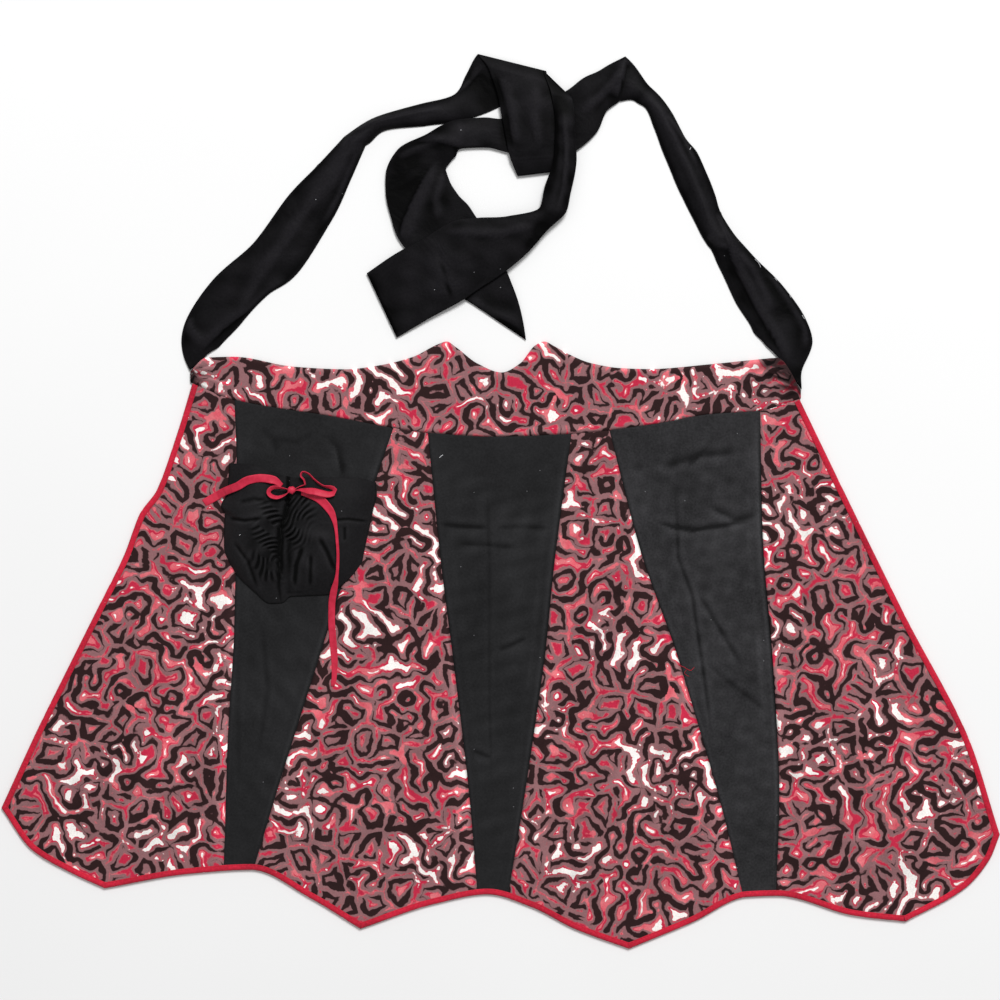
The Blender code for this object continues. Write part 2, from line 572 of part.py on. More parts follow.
def knot_place(height):
    """Place of the bow's knot: over the pocket's channel, just under its mouth."""
    corner = pocket_corner()
    x = corner[0] + KNOT_AT * POCKET_WIDTH
    y = corner[1] - KNOT_DOWN * POCKET_HEIGHT
    half_x, half_y = KNOT_SIZE[0] / 2, KNOT_SIZE[1] / 2
    seats = [height(x + a * half_x, y + b * half_y) for a in (-1, -0.5, 0, 0.5, 1) for b in (-1, 0, 1)]
    return np.array([x, y, max(seats) + RIBBON_SEAT])


def highest_near(height, places, reach):
    """Height under each place, taking the highest within a small reach all round."""
    turns = np.linspace(0, 2 * math.pi, 8, endpoint=False)
    ring = [(math.cos(a) * r, math.sin(a) * r) for r in (0, reach / 2, reach) for a in turns]
    return np.array([max(height(x + a, y + b) for a, b in ring) for x, y in places])


def loop_ring(knot, points, height):
    """One loop of the bow: the ribbon stands on its edge on the cloth below and comes back to the knot."""
    line = rounded(np.array(points) * RIBBON_WIDTH, 15)
    step = np.gradient(line, axis=0)
    step /= np.linalg.norm(step, axis=1)[:, None]
    side = np.stack([-step[:, 1], step[:, 0]], axis=-1) * RIBBON_CLOTH / 2
    place = knot[:2] + line
    seat = np.maximum(highest_near(height, place, RIBBON_CLOTH * 3) + RIBBON_SEAT, knot[2])
    sections = np.zeros((len(line), 4, 3))
    for corner, (across, up) in enumerate(((-1, 0), (1, 0), (1, LOOP_HEIGHT), (-1, LOOP_HEIGHT))):
        sections[:, corner, :2] = place + side * across
        sections[:, corner, 2] = seat + up
    return sections


def join(item, other):
    """Add the second piece's body to the first with a Boolean union, and drop the second."""
    tool = item.modifiers.new("join", "BOOLEAN")
    tool.operation = "UNION"
    tool.solver = "EXACT"
    tool.object = other
    other.hide_render = True
    other.display_type = "WIRE"


def make_bow(knot, height):
    """Bow knotted over the pocket's gathers: a rounded knot with a loop to each side."""
    work = bmesh.new()
    bmesh.ops.create_uvsphere(work, u_segments=12, v_segments=8, radius=0.5)
    verts = [knot + np.array([v.co.x * KNOT_SIZE[0], v.co.y * KNOT_SIZE[1], (v.co.z + 0.5) * KNOT_SIZE[2]])
             for v in work.verts]
    faces = [[v.index for v in f.verts] for f in work.faces]
    work.free()
    bow = mesh_object("ribbon_bow", verts, faces, RED_COTTON)
    join(bow, swept("bow_loop_left", loop_ring(knot, LOOP_LEFT, height), RED_COTTON))
    join(bow, swept("bow_loop_right", loop_ring(knot, LOOP_RIGHT, height), RED_COTTON))


def make_tail(name, knot, route, height):
    """Flat ribbon end that lies on whatever is below it."""
    route = np.array(route)
    run = np.linalg.norm(np.diff(route, axis=0), axis=1).sum()
    line = rounded(route, max(4, round(run / TAIL_STEP)) + 1) + knot[:2]
    step = np.gradient(line, axis=0)
    step /= np.linalg.norm(step, axis=1)[:, None]
    side = np.stack([-step[:, 1], step[:, 0]], axis=-1) * RIBBON_WIDTH / 2
    seat = highest_near(height, line, RIBBON_REACH) + RIBBON_SEAT
    sections = np.zeros((len(line), 4, 3))
    for corner, (across, up) in enumerate(((-1, 0), (1, 0), (1, RIBBON_CLOTH), (-1, RIBBON_CLOTH))):
        sections[:, corner, :2] = line + side * across
        sections[:, corner, 2] = seat + up
    swept(name, sections, RED_COTTON)


def stand_on_origin():
    """Move all pieces together so that the origin is under their middle, on the floor."""
    bpy.context.view_layer.update()
    items = [item for item in bpy.data.objects if item.type == "MESH"]
    corners = np.array([tuple(v.co) for item in items if not item.hide_render for v in item.data.vertices])
    low, high = corners.min(0), corners.max(0)
    shift = np.array([-(low[0] + high[0]) / 2, -(low[1] + high[1]) / 2, -low[2]])
    for item in items:
        points = np.array([tuple(v.co) for v in item.data.vertices]) + shift
        item.data.vertices.foreach_set("co", points.astype(np.float32).ravel())
        item.data.update()


def main():
    clear_scene()
    outline = make_panels()
    make_binding(outline)
    make_waistband()
    make_tie("tie_left", -1, TIE_LEFT)
    make_tie("tie_right", 1, TIE_RIGHT)
    make_pocket()
    height = surface_below(list(bpy.data.objects))
    knot = knot_place(height)
    make_tail("ribbon_tail_left", knot, TAIL_LEFT, height)
    make_tail("ribbon_tail_right", knot, TAIL_RIGHT, height)
    make_bow(knot, surface_below(list(bpy.data.objects)))
    stand_on_origin()


main()
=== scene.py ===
"""Half waist apron, laid flat on a pale table: printed and black flared panels with a red binding, a
gathered pocket with a ribbon bow, a two-pointed waistband and long black ties."""

import math

import bpy
import numpy as np
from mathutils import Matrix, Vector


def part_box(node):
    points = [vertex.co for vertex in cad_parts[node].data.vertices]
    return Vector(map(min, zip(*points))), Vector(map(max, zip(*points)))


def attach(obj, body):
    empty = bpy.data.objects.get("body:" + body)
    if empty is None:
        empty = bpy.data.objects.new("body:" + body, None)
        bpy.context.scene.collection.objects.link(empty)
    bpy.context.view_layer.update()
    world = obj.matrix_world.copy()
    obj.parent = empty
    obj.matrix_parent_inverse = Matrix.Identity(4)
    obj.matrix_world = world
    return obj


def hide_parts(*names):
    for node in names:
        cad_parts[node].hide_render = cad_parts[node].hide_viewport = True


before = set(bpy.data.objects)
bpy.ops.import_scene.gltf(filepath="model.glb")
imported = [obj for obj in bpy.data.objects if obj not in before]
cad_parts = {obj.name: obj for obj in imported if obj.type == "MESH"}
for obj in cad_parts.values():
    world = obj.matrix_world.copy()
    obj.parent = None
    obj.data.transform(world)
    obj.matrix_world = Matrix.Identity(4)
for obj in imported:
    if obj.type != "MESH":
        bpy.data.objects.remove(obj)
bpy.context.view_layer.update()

# The table is a plain pale sheet of board. The camera looks straight down on it from where the
# photograph was taken, and a broad soft lamp beside it gives the cloth its small shadows.
PIXEL = 0.0008
FRAME_WIDTH = 1000 * PIXEL
LENS, SENSOR = 0.110, 0.036
CAMERA_HEIGHT = FRAME_WIDTH * LENS / SENSOR
CAMERA_PLACE = (-0.0005, 0.0012)
TABLE_COLOUR = (0.86, 0.86, 0.87, 1.0)
TABLE_TINT = (0.83, 0.89)
TABLE_REACH = 3.0
LAMP_PLACE = (0.9, 2.9, 4.0)
LAMP_TURN = (-35.3, 12.7)
LAMP_SIZE = 1.7
LAMP_POWER = 218.0
ROOM_LIGHT = 0.44


def add(tree, kind, inputs=None, out=0, **settings):
    """Add a shader node with its options, and feed each input a value or another node's output."""
    node = tree.nodes.new("ShaderNode" + kind)
    for name, value in settings.items():
        setattr(node, name, value)
    for key, value in (inputs or {}).items():
        if isinstance(value, bpy.types.NodeSocket):
            tree.links.new(value, node.inputs[key])
        else:
            node.inputs[key].default_value = value
    return node.outputs[out]


def calc(tree, operation, a, b=0.0, clamp=False):
    """One sum on two numbers or sockets."""
    return add(tree, "Math", {0: a, 1: b}, operation=operation, use_clamp=clamp)


def clouds(tree, places, scale, detail, out=0, space="3D", **more):
    """Cloudy noise on places, with its other inputs by name."""
    inputs = {"Vector": places, "Scale": scale, "Detail": detail, **more}
    return add(tree, "TexNoise", inputs, out, noise_dimensions=space)


def finish_of(name, colour, roughness, sheen=0.0, specular=0.3):
    """A material with its even values on the shader's own sockets; returns it with its tree and places."""
    material = bpy.data.materials.new(name)
    material.use_nodes = True
    tree = material.node_tree
    shader = tree.nodes["Principled BSDF"]
    shader.inputs["Base Color"].default_value = colour
    shader.inputs["Roughness"].default_value = roughness
    shader.inputs["Sheen Weight"].default_value = sheen
    shader.inputs["Sheen Roughness"].default_value = 0.5
    shader.inputs["Specular IOR Level"].default_value = specular
    places = add(tree, "TexCoord", out=3)
    return material, tree, shader, places


def mesh_piece(name, points, faces, material, smooth=True, painted_shading=None):
    """Put whole arrays of points and of faces with equal numbers of corners into a new object. The painted
    shading is how far each point stands out of the cloth round it: ridges get painted highlights, hollows
    painted shade."""
    mesh = bpy.data.meshes.new(name)
    points = np.asarray(points, np.float32).reshape(-1, 3)
    faces = np.asarray(faces, np.int32)
    mesh.vertices.add(len(points))
    mesh.vertices.foreach_set("co", points.ravel())
    mesh.loops.add(faces.size)
    mesh.loops.foreach_set("vertex_index", faces.ravel())
    mesh.polygons.add(len(faces))
    mesh.polygons.foreach_set("loop_start", np.arange(len(faces), dtype=np.int32) * faces.shape[1])
    mesh.update(calc_edges=True)
    if smooth:
        mesh.shade_smooth()
    if painted_shading is not None:
        shade_paint = mesh.attributes.new("painted_shading", "FLOAT", "POINT").data
        shade_paint.foreach_set("value", painted_shading.astype(np.float32).ravel())
    mesh.materials.append(material)
    piece = bpy.data.objects.new(name, mesh)
    bpy.context.scene.collection.objects.link(piece)
    return piece


camera = bpy.data.objects.new("camera", bpy.data.cameras.new("camera"))
camera.data.lens = LENS * 1000
camera.data.sensor_width = SENSOR * 1000
camera.location = (*CAMERA_PLACE, CAMERA_HEIGHT)
bpy.context.scene.collection.objects.link(camera)
bpy.context.scene.camera = camera
bpy.context.scene.view_settings.view_transform = "Standard"

table_finish, tree, shader, places = finish_of("pale_board", TABLE_COLOUR, 0.6)
cloud = clouds(tree, places, 2.2, 2.0)
tint = add(tree, "MapRange", {"Value": cloud, "To Min": TABLE_TINT[0], "To Max": TABLE_TINT[1]})
tree.links.new(add(tree, "CombineColor", {0: tint, 1: tint, 2: tint}), shader.inputs["Base Color"])
corners = TABLE_REACH * np.array([[-1, -1, 0], [1, -1, 0], [1, 1, 0], [-1, 1, 0]])
table = mesh_piece("table", corners, [[0, 1, 2, 3]], table_finish, smooth=False)

lamp = bpy.data.objects.new("soft_lamp", bpy.data.lights.new("soft_lamp", "AREA"))
lamp.data.size = LAMP_SIZE
lamp.data.energy = LAMP_POWER
lamp.location = LAMP_PLACE
lamp.rotation_euler = (math.radians(LAMP_TURN[0]), math.radians(LAMP_TURN[1]), 0)
bpy.context.scene.collection.objects.link(lamp)
world = bpy.data.worlds.new("room")
world.use_nodes = True
world.node_tree.nodes["Background"].inputs["Color"].default_value = (1.0, 1.0, 1.0, 1.0)
world.node_tree.nodes["Background"].inputs["Strength"].default_value = ROOM_LIGHT
bpy.context.scene.world = world

# The two loose ends of the ribbon bow: flat satin ribbon that leaves the knot on the pocket's gathers
# and lies on the pocket and the skirt. Each follows the same route as its solid, at its real length.
BAND_WIDTH = 0.488
BAND_HEIGHT = 0.076
SKIRT_DROP = 0.4094
POCKET_WIDTH = 0.1176
POCKET_HEIGHT = 0.1128
POCKET_IN = 0.031
POCKET_DOWN = 0.0647
KNOT_AT, KNOT_DOWN = 0.43, 0.19
RIBBON_WIDTH = 0.0065
RIBBON_CLOTH = 0.0005
RIBBON_CUP = 0.0004
RIBBON_LEAN = 0.0006
RIBBON_ON = 0.0001
RIBBON_RED = (0.57, 0.016, 0.046, 1.0)
band_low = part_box("waistband")[0]
band_middle = band_low.x + BAND_WIDTH / 2
seam_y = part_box("edge_binding")[0].y + SKIRT_DROP

# Waistband's lower edge: across, share of half the band; rise, share of the band's height
WAIST_SEAM = [
    (-1.0, 0.57), (-0.86, 0.39), (-0.54, 0.215), (-0.22, 0.04), (0.0, 0.0),
    (0.25, 0.03), (0.52, 0.133), (0.7, 0.235), (0.87, 0.275), (1.0, 0.40),
]

# The ribbon's two tails, from the knot on: across and up from the knot, in metres, as laid
TAIL_LEFT = [
    (-0.0078, 0.0035), (-0.0145, 0.0082), (-0.024, 0.0095), (-0.0335, 0.008), (-0.043, 0.003),
    (-0.0535, -0.001), (-0.063, -0.006), (-0.0705, -0.0105),
]
TAIL_RIGHT = [
    (0.0078, -0.0022), (0.012, -0.0026), (0.0197, -0.0053), (0.0270, -0.0112), (0.0328, -0.0195),
    (0.0354, -0.029), (0.0366, -0.041), (0.0372, -0.052), (0.0368, -0.062), (0.0355, -0.072),
    (0.033, -0.082), (0.0315, -0.092), (0.0313, -0.104), (0.032, -0.116), (0.033, -0.128),
    (0.0337, -0.140), (0.0334, -0.150), (0.0325, -0.157),
]

# Width of each tail as seen along its length: share of the way, share of the ribbon's width
TAIL_RIGHT_WIDTHS = [(0.0, 0.6), (0.05, 1.05), (0.15, 0.95), (0.27, 0.38), (0.46, 0.30), (0.56, 0.85),
                     (0.8, 0.85), (1.0, 0.55)]
TAIL_LEFT_WIDTHS = [(0.0, 0.55), (0.15, 1.0), (1.0, 1.0)]


def eased(rows, at):
    """Read the second column at places on the first: a cubic from row to row that never overshoots."""
    place, value = np.array(rows, float).T
    chord = np.diff(value) / np.diff(place)
    before, after = np.r_[chord[0], chord], np.r_[chord, chord[-1]]
    same_way = before * after > 0
    slope = np.where(same_way, 2 * before * after / np.where(same_way, before + after, 1.0), 0.0)
    at = np.clip(at, place[0], place[-1])
    low = np.clip(np.searchsorted(place, at) - 1, 0, len(place) - 2)
    step = place[low + 1] - place[low]
    t = (at - place[low]) / step
    from_low = (1 + 2 * t) * (1 - t) ** 2 * value[low] + t * (1 - t) ** 2 * step * slope[low]
    from_high = t * t * (3 - 2 * t) * value[low + 1] - t * t * (1 - t) * step * slope[low + 1]
    return from_low + from_high


def rounded(points, count):
    """Spread count places evenly along a smooth curve through the points."""
    points = np.array(points, float)
    run = np.r_[0, np.cumsum(np.linalg.norm(np.diff(points[:, :2], axis=0), axis=1))]
    at = np.linspace(0, run[-1], count)
    return np.stack([eased(np.c_[run, column], at) for column in points.T], axis=-1)


def band_x(across):
    return band_middle + across * BAND_WIDTH / 2


def waist_y(across):
    return seam_y + BAND_HEIGHT * eased(WAIST_SEAM, across)


def pocket_place(across, down):
    """X and Y of a place on the pocket, at shares of its width from the left and of its height down."""
    return band_x(-1) + POCKET_IN + across * POCKET_WIDTH, waist_y(-1) - POCKET_DOWN - down * POCKET_HEIGHT


def grid_faces(rows, columns, ring=False):
    """Corners of a grid's squares, facing up where its rows run down and its columns to the right."""
    number = np.arange(rows * columns).reshape(rows, columns)
    if ring:
        number = np.c_[number, number[:, :1]]
    corners = (number[1:, :-1], number[1:, 1:], number[:-1, 1:], number[:-1, :-1])
    return np.stack(corners, axis=-1).reshape(-1, 4)


def unit(vectors):
    return vectors / np.maximum(np.linalg.norm(vectors, axis=-1, keepdims=True), 1e-12)


def heights_of(node, places, reach):
    """Highest corner of a solid within reach of each place, seen from above."""
    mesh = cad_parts[node].data
    corners = np.zeros(len(mesh.vertices) * 3, np.float32)
    mesh.vertices.foreach_get("co", corners)
    corners = corners.reshape(-1, 3)
    apart = np.linalg.norm(places[:, None] - corners[None, :, :2], axis=-1)
    near = apart < np.maximum(reach, apart.min(1) + 1e-4)[:, None]
    return np.where(near, corners[None, :, 2], -1.0).max(1)


def evened(values):
    """Running mean over nine values, with the first and the last one held beyond the ends."""
    held = np.r_[[values[0]] * 4, values, [values[-1]] * 4]
    return np.convolve(held, np.ones(9) / 9, "valid")


def thicken(piece, thickness, offset=-1.0):
    """Give a sheet its thickness, on its inner side unless the offset says both."""
    thick = piece.modifiers.new("thickness", "SOLIDIFY")
    thick.thickness = thickness
    thick.offset = offset


def dress(piece, node):
    """Put a piece in the place of its solid."""
    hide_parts(node)
    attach(piece, "root")


def blend(tree, share, under, over):
    """Mix a share of one colour over another."""
    return add(tree, "Mix", {"Factor": share, 6: under, 7: over}, out=2, data_type="RGBA")


def satin(name, colour):
    """Satin ribbon: fine ribs across it, a soft low gloss, and a slightly uneven dye."""
    material, tree, shader, places = finish_of(name, colour, 0.45, sheen=0.04, specular=0.22)
    shade = clouds(tree, places, 260.0, 3.0)
    deep = (colour[0] * 0.70, colour[1] * 0.5, colour[2] * 0.55, 1.0)
    pale = (min(1.0, colour[0] * 1.2), colour[1] * 2.0, colour[2] * 1.8, 1.0)
    tree.links.new(blend(tree, shade, deep, pale), shader.inputs["Base Color"])
    ribs = add(tree, "TexWave", {"Vector": places, "Scale": 620.0, "Distortion": 1.5}, out=1)
    bump = add(tree, "Bump", {"Height": ribs, "Strength": 0.35, "Distance": 0.0001})
    tree.links.new(bump, shader.inputs["Normal"])
    return material


def ribbon_end(name, route, widths, finish):
    """A flat ribbon: its width is carried along the route, cupped and leant a little by slow sines."""
    count = 90
    line = rounded(route, count) + knot
    share = np.linspace(0, 1, count)
    wide = eased(widths, share) * RIBBON_WIDTH
    top = evened(heights_of(name, line, 0.004))
    step = unit(np.gradient(line, axis=0))
    side = np.stack([-step[:, 1], step[:, 0]], axis=-1)
    across = np.linspace(-1, 1, 9)
    cup = RIBBON_CUP * np.sin(share * 17)[:, None] * (across[None] ** 2 - 0.4)
    lean = RIBBON_LEAN * np.sin(share * 9 + 1)[:, None] * across[None]
    grid = np.zeros((count, 9, 3))
    grid[..., :2] = line[:, None] + side[:, None] * (across * wide[:, None] / 2)[..., None]
    grid[..., 2] = top[:, None] - RIBBON_ON + cup + lean
    piece = mesh_piece(name + "_cloth", grid, grid_faces(count, 9), finish)
    thicken(piece, RIBBON_CLOTH)
    dress(piece, name)
    return grid


knot = np.array(pocket_place(KNOT_AT, KNOT_DOWN))
ribbon_finish = satin("red_satin", RIBBON_RED)
tail_left = ribbon_end("ribbon_tail_left", TAIL_LEFT, TAIL_LEFT_WIDTHS, ribbon_finish)
tail_right = ribbon_end("ribbon_tail_right", TAIL_RIGHT, TAIL_RIGHT_WIDTHS, ribbon_finish)

# The skirt: seven flared panels of woven cotton, four printed and three black, seamed side by side with
# the seam's spare cloth pressed under the panel to its right. It lies almost flat, with soft creases.
HEM_WIDTH = 0.798
CLOTH = 0.00035
TABLE_TO_TOP = 0.0012
EDGE_LIFT = 0.0013
LIFT_REACH = 0.035
SEAM_SPARE = 0.004
SEAM_UNDER = 0.00042
SEAM_OVER = 0.00082
OVER_SLOPE, UNDER_SLOPE = 0.0025, 0.003
SEAM_CALM = 0.012
CREASE_DEPTH = 0.7
NARROW_PANEL = 0.15
FINE_CELL, FINE_ROWS = 0.0015, 220
BROAD_CELL, BROAD_ROWS = 0.0020, 180
LONG_WAVES, LONG_WAVE_HEIGHT = 0.055, 0.0005
SHORT_WAVES, SHORT_WAVE_HEIGHT = 0.016, 0.00022
BLACK_COTTON = (0.0130, 0.0130, 0.0138, 1.0)
DUSTY_COTTON = (0.0160, 0.0157, 0.0168, 1.0)
LINT_GREY = (0.4, 0.4, 0.42, 1.0)
PRINT_BLACK = (0.0240, 0.0100, 0.0105, 1.0)
PRINT_TAUPE = (0.262, 0.124, 0.132, 1.0)
PRINT_CRIMSON = (0.50, 0.022, 0.058, 1.0)
PRINT_CORAL = (0.66, 0.085, 0.120, 1.0)
PRINT_PINK = (0.70, 0.19, 0.21, 1.0)
PRINT_WHITE = (0.90, 0.86, 0.83, 1.0)

# Hem between its sharp points: across, share of half the hem; drop, share of the skirt's drop
HEM_STRETCHES = [
    [(-1.0, 0.725), (-0.94, 0.806), (-0.86, 0.852), (-0.793, 0.882)],
    [(-0.793, 0.882), (-0.625, 0.854), (-0.5, 0.846), (-0.38, 0.902), (-0.281, 0.961)],
    [(-0.281, 0.961), (-0.13, 0.912), (-0.026, 0.894), (0.06, 0.918), (0.15, 0.962), (0.257, 1.0)],
    [(0.257, 1.0), (0.385, 0.948), (0.494, 0.899), (0.554, 0.897), (0.71, 0.936), (0.811, 0.947)],
    [(0.811, 0.947), (0.93, 0.882), (0.98, 0.825), (1.0, 0.777)],
]
HEM_POINTS = [rows[0][0] for rows in HEM_STRETCHES[1:]]

# Seams and side edges, left to right: place on the waist seam, share of half the band; place on the
# hem, share of half the hem; then rows of (down, sideways), shares of the seam and of the hem's width
SEAMS = [
    (-0.993, -1.0, [(0, 0), (0.13, 0.008), (0.25, 0.0125), (0.31, 0.006), (0.41, 0.009),
                    (0.53, 0.0065), (0.65, 0.004), (0.85, 0.0005), (1, 0)]),
    (-0.855, -0.555, [(0, 0), (0.25, 0.005), (0.5, 0.0045), (0.75, 0.0005), (1, 0)]),
    (-0.335, -0.4955, [(0, 0), (0.25, -0.002), (0.5, -0.0015), (0.75, -0.0015), (1, 0)]),
    (-0.222, -0.046, [(0, 0), (0.25, -0.001), (0.5, 0.001), (0.75, 0.0025), (1, 0)]),
    (0.2485, 0.0143, [(0, 0), (0.25, 0.0005), (0.5, 0.004), (0.75, 0.003), (1, 0)]),
    (0.373, 0.487, [(0, 0), (0.25, -0.0035), (0.5, 0.0035), (0.75, 0.0045), (1, 0)]),
    (0.8665, 0.552, [(0, 0), (0.25, -0.0015), (0.5, 0.004), (0.75, 0.007), (1, 0)]),
    (0.995, 1.0, [(0, 0), (0.25, 0.0025), (0.5, 0.006), (0.75, 0.0135), (1, 0)]),
]

# Soft creases seen in the photograph: across and down, shares of half the hem and of the drop; turn in
# degrees; length and breadth in metres; height in metres
CREASES = [
    (-0.68, 0.62, 68, 0.120, 0.020, 0.0026), (-0.22, 0.55, 80, 0.140, 0.022, 0.0021),
    (0.03, 0.30, 92, 0.090, 0.018, 0.0017), (0.26, 0.62, 84, 0.140, 0.024, 0.0024),
    (0.53, 0.45, 112, 0.106, 0.020, 0.0024), (0.76, 0.58, 118, 0.140, 0.024, 0.0031),
]

# Pressed folds and puckers: a line's points, across and up from the waist seam's lowest point; height; how
# far it falls away to the line's left and to its right; all in millimetres
SKIRT_CREASES = [
    ([(-142, 3), (-131, -9), (-126, -33)], 1, 6, 1),
    ([(-192, 8), (-182, -2), (-177, -13)], 0.5, 3, 3),
    ([(-186, -1), (-163, -4), (-148, 5)], 0.6, 3, 3),
    ([(-11, -26), (-9, -98), (-9, -210), (-7, -290)], 0.2, 1.4, 1.4),
    ([(-36, -86), (-10, -87), (15, -89)], 0.45, 3, 1.2),
    ([(120, -66), (139, -73), (153, -75), (180, -71), (206, -66)], 0.9, 3, 1.5),
    ([(140, -34), (142, -97), (153, -126), (163, -195), (171, -259)], 0.5, 2, 1.5),
    ([(147, -27), (161, -13), (175, 4)], 0.5, 3, 2),
    ([(157, -123), (176, -155), (194, -185)], 0.6, 3, 2),
    ([(161, -178), (190, -202), (216, -222)], 0.35, 3, 2),
    ([(-57, -69), (-32, -72), (-7, -73)], 0.7, 2.5, 1.5),
    ([(-3, -171), (10, -166), (22, -160)], 0.5, 2.5, 1.5),
    ([(-7, -73), (18, -72), (42, -74)], 0.4, 2.5, 1.5),
    ([(-24, -250), (-15, -254), (-7, -257)], 0.5, 2, 1.5),
    ([(153, -202), (163, -234), (166, -282)], 0.7, 4, 2),
    ([(127, -26), (159, -14), (193, -12)], 0.7, 5, 3),
    ([(164, -54), (187, -66), (209, -62)], 0.7, 5, 2),
    ([(-90, -2), (-85, -12), (-84, -26)], 0.8, 2, 2),
    ([(-212, -162), (-210, -226), (-209, -290)], 0.5, 3, 3),
    ([(-191, -146), (-186, -202), (-194, -258)], 0.5, 3, 3),
]


def hem_place(across):
    """X and Y on the hem, whose stretches meet in sharp points."""
    across = np.atleast_1d(np.asarray(across, float))
    drop = np.zeros(len(across))
    for rows in HEM_STRETCHES:
        inside = (across >= rows[0][0] - 1e-9) & (across <= rows[-1][0] + 1e-9)
        drop[inside] = eased(rows, across[inside])
    return np.stack([across * HEM_WIDTH / 2, seam_y - drop * SKIRT_DROP], axis=-1)


def seam_line(seam, down):
    """Places on a seam: the straight line from waist to hem, with its bow added sideways."""
    waist, hem, bow = seam
    top = np.array([band_x(waist), waist_y(waist)])
    line = top + (hem_place(hem)[0] - top) * down[:, None]
    line[:, 0] += eased(bow, down) * HEM_WIDTH
    return line


def panel_plan(left, right, u, v):
    """Places on a panel: a straight mix of its two seams, bent near its ends to meet waist and hem."""
    a, b = seam_line(left, v), seam_line(right, v)
    grid = a[:, None] + (b - a)[:, None] * u[None, :, None]
    waist = left[0] + (right[0] - left[0]) * u
    top = np.stack([band_x(waist), waist_y(waist)], axis=-1)
    foot = hem_place(left[1] + (right[1] - left[1]) * u)
    near_top, near_foot = ((1 - v) ** 2)[:, None, None], (v**4)[:, None, None]
    return grid + near_top * (top - grid[0]) + near_foot * (foot - grid[-1])


def ridges(x, y, rows, ends=3.0):
    """Sum of long low ridges: a bell across each one, fading towards its ends."""
    height = np.zeros(np.shape(x))
    for across, down, turn, length, breadth, tall in rows:
        lean = math.radians(turn)
        dx, dy = x - across * HEM_WIDTH / 2, y - seam_y + down * SKIRT_DROP
        run = (dx * math.cos(lean) + dy * math.sin(lean)) / length
        off = (dy * math.cos(lean) - dx * math.sin(lean)) / breadth
        height += tall * np.exp(-ends * run**2 - off**2)
    return height


def creased(x, y, rows):
    """Height of folds along drawn lines: full on the line, a bell of one breadth to its left and of another
    to its right, fading at its ends."""
    height = np.zeros(np.shape(x))
    for line, tall, to_left, to_right in rows:
        line = np.array(line) * 0.001 + (0.0, seam_y)
        step = np.diff(line, axis=0)
        dx, dy = x[..., None] - line[:-1, 0], y[..., None] - line[:-1, 1]
        along = np.clip((dx * step[:, 0] + dy * step[:, 1]) / (step**2).sum(1), 0, 1)
        apart = np.hypot(dx - along * step[:, 0], dy - along * step[:, 1])
        near = apart.argmin(-1)[..., None]
        apart = np.take_along_axis(apart, near, -1)[..., 0]
        on_left = np.take_along_axis(dy * step[:, 0] - dx * step[:, 1], near, -1)[..., 0] > 0
        share = (near[..., 0] + np.take_along_axis(along, near, -1)[..., 0]) / len(step)
        fade = smooth(np.minimum(share, 1 - share) / 0.22)
        height += tall * 0.001 * fade * np.exp(-(apart / np.where(on_left, to_left, to_right) * 1000) ** 2)
    return height


def ripple(x, y, size, seed):
    """Smooth uneven waves of one size: eight plane waves with seeded directions and phases, averaged."""
    chance = np.random.default_rng(seed)
    total = np.zeros(np.shape(x))
    for _ in range(8):
        turn, phase = chance.uniform(0, math.pi), chance.uniform(0, 2 * math.pi)
        pitch = 2 * math.pi / (size * chance.uniform(0.75, 1.5))
        total += np.sin((x * math.cos(turn) + y * math.sin(turn)) * pitch + phase)
    return total / 8


def smooth(t):
    t = np.clip(t, 0, 1)
    return t * t * (3 - 2 * t)


def standing_out(grid, cells, full=0.0004):
    """How far a grid's points stand above (1) or below (-1) the mean height of the cells round them."""
    mean = grid[..., 2]
    for axis in (0, 1):
        padded = np.pad(mean, [(cells, cells) if a == axis else (0, 0) for a in (0, 1)], mode="edge")
        total = np.cumsum(np.insert(padded, 0, 0, axis=axis), axis=axis)
        window = 2 * cells + 1
        size = mean.shape[axis]
        high, low = (np.take(total, np.arange(size) + more, axis) for more in (window, 0))
        mean = (high - low) / window
    return np.clip((grid[..., 2] - mean) / full, -1, 1)


def weave_bump(tree, shader, places, strength, creasing):
    """Plain weave: two fine sets of threads at right angles, over uneven yarn and small soft wrinkles."""
    yarns = {"Vector": places, "Scale": 480.0, "Distortion": 0.6}
    warp, weft = (add(tree, "TexWave", yarns, out=1, bands_direction=way) for way in "XY")
    slub = clouds(tree, places, 900.0, 2.0)
    wrinkle = clouds(tree, places, 34.0, 3.0, Distortion=0.8)
    height = calc(tree, "ADD", calc(tree, "MAXIMUM", warp, weft), slub)
    height = calc(tree, "ADD", height, calc(tree, "MULTIPLY", wrinkle, creasing))
    bump = add(tree, "Bump", {"Height": height, "Strength": strength, "Distance": 0.00012})
    tree.links.new(bump, shader.inputs["Normal"])


def scaled(tree, vector, by):
    return add(tree, "VectorMath", {0: vector, "Scale": by}, operation="SCALE")


def painted_relief_shading(tree, colour, strength):
    """Paint highlights on the ridges and shade in the hollows of a cloth."""
    painted_shading = add(tree, "Attribute", out=2, attribute_name="painted_shading")
    level = add(tree, "Math", {0: painted_shading, 1: strength, 2: 1.0}, operation="MULTIPLY_ADD")
    level = calc(tree, "MAXIMUM", level, 0.12)
    return scaled(tree, colour, level)


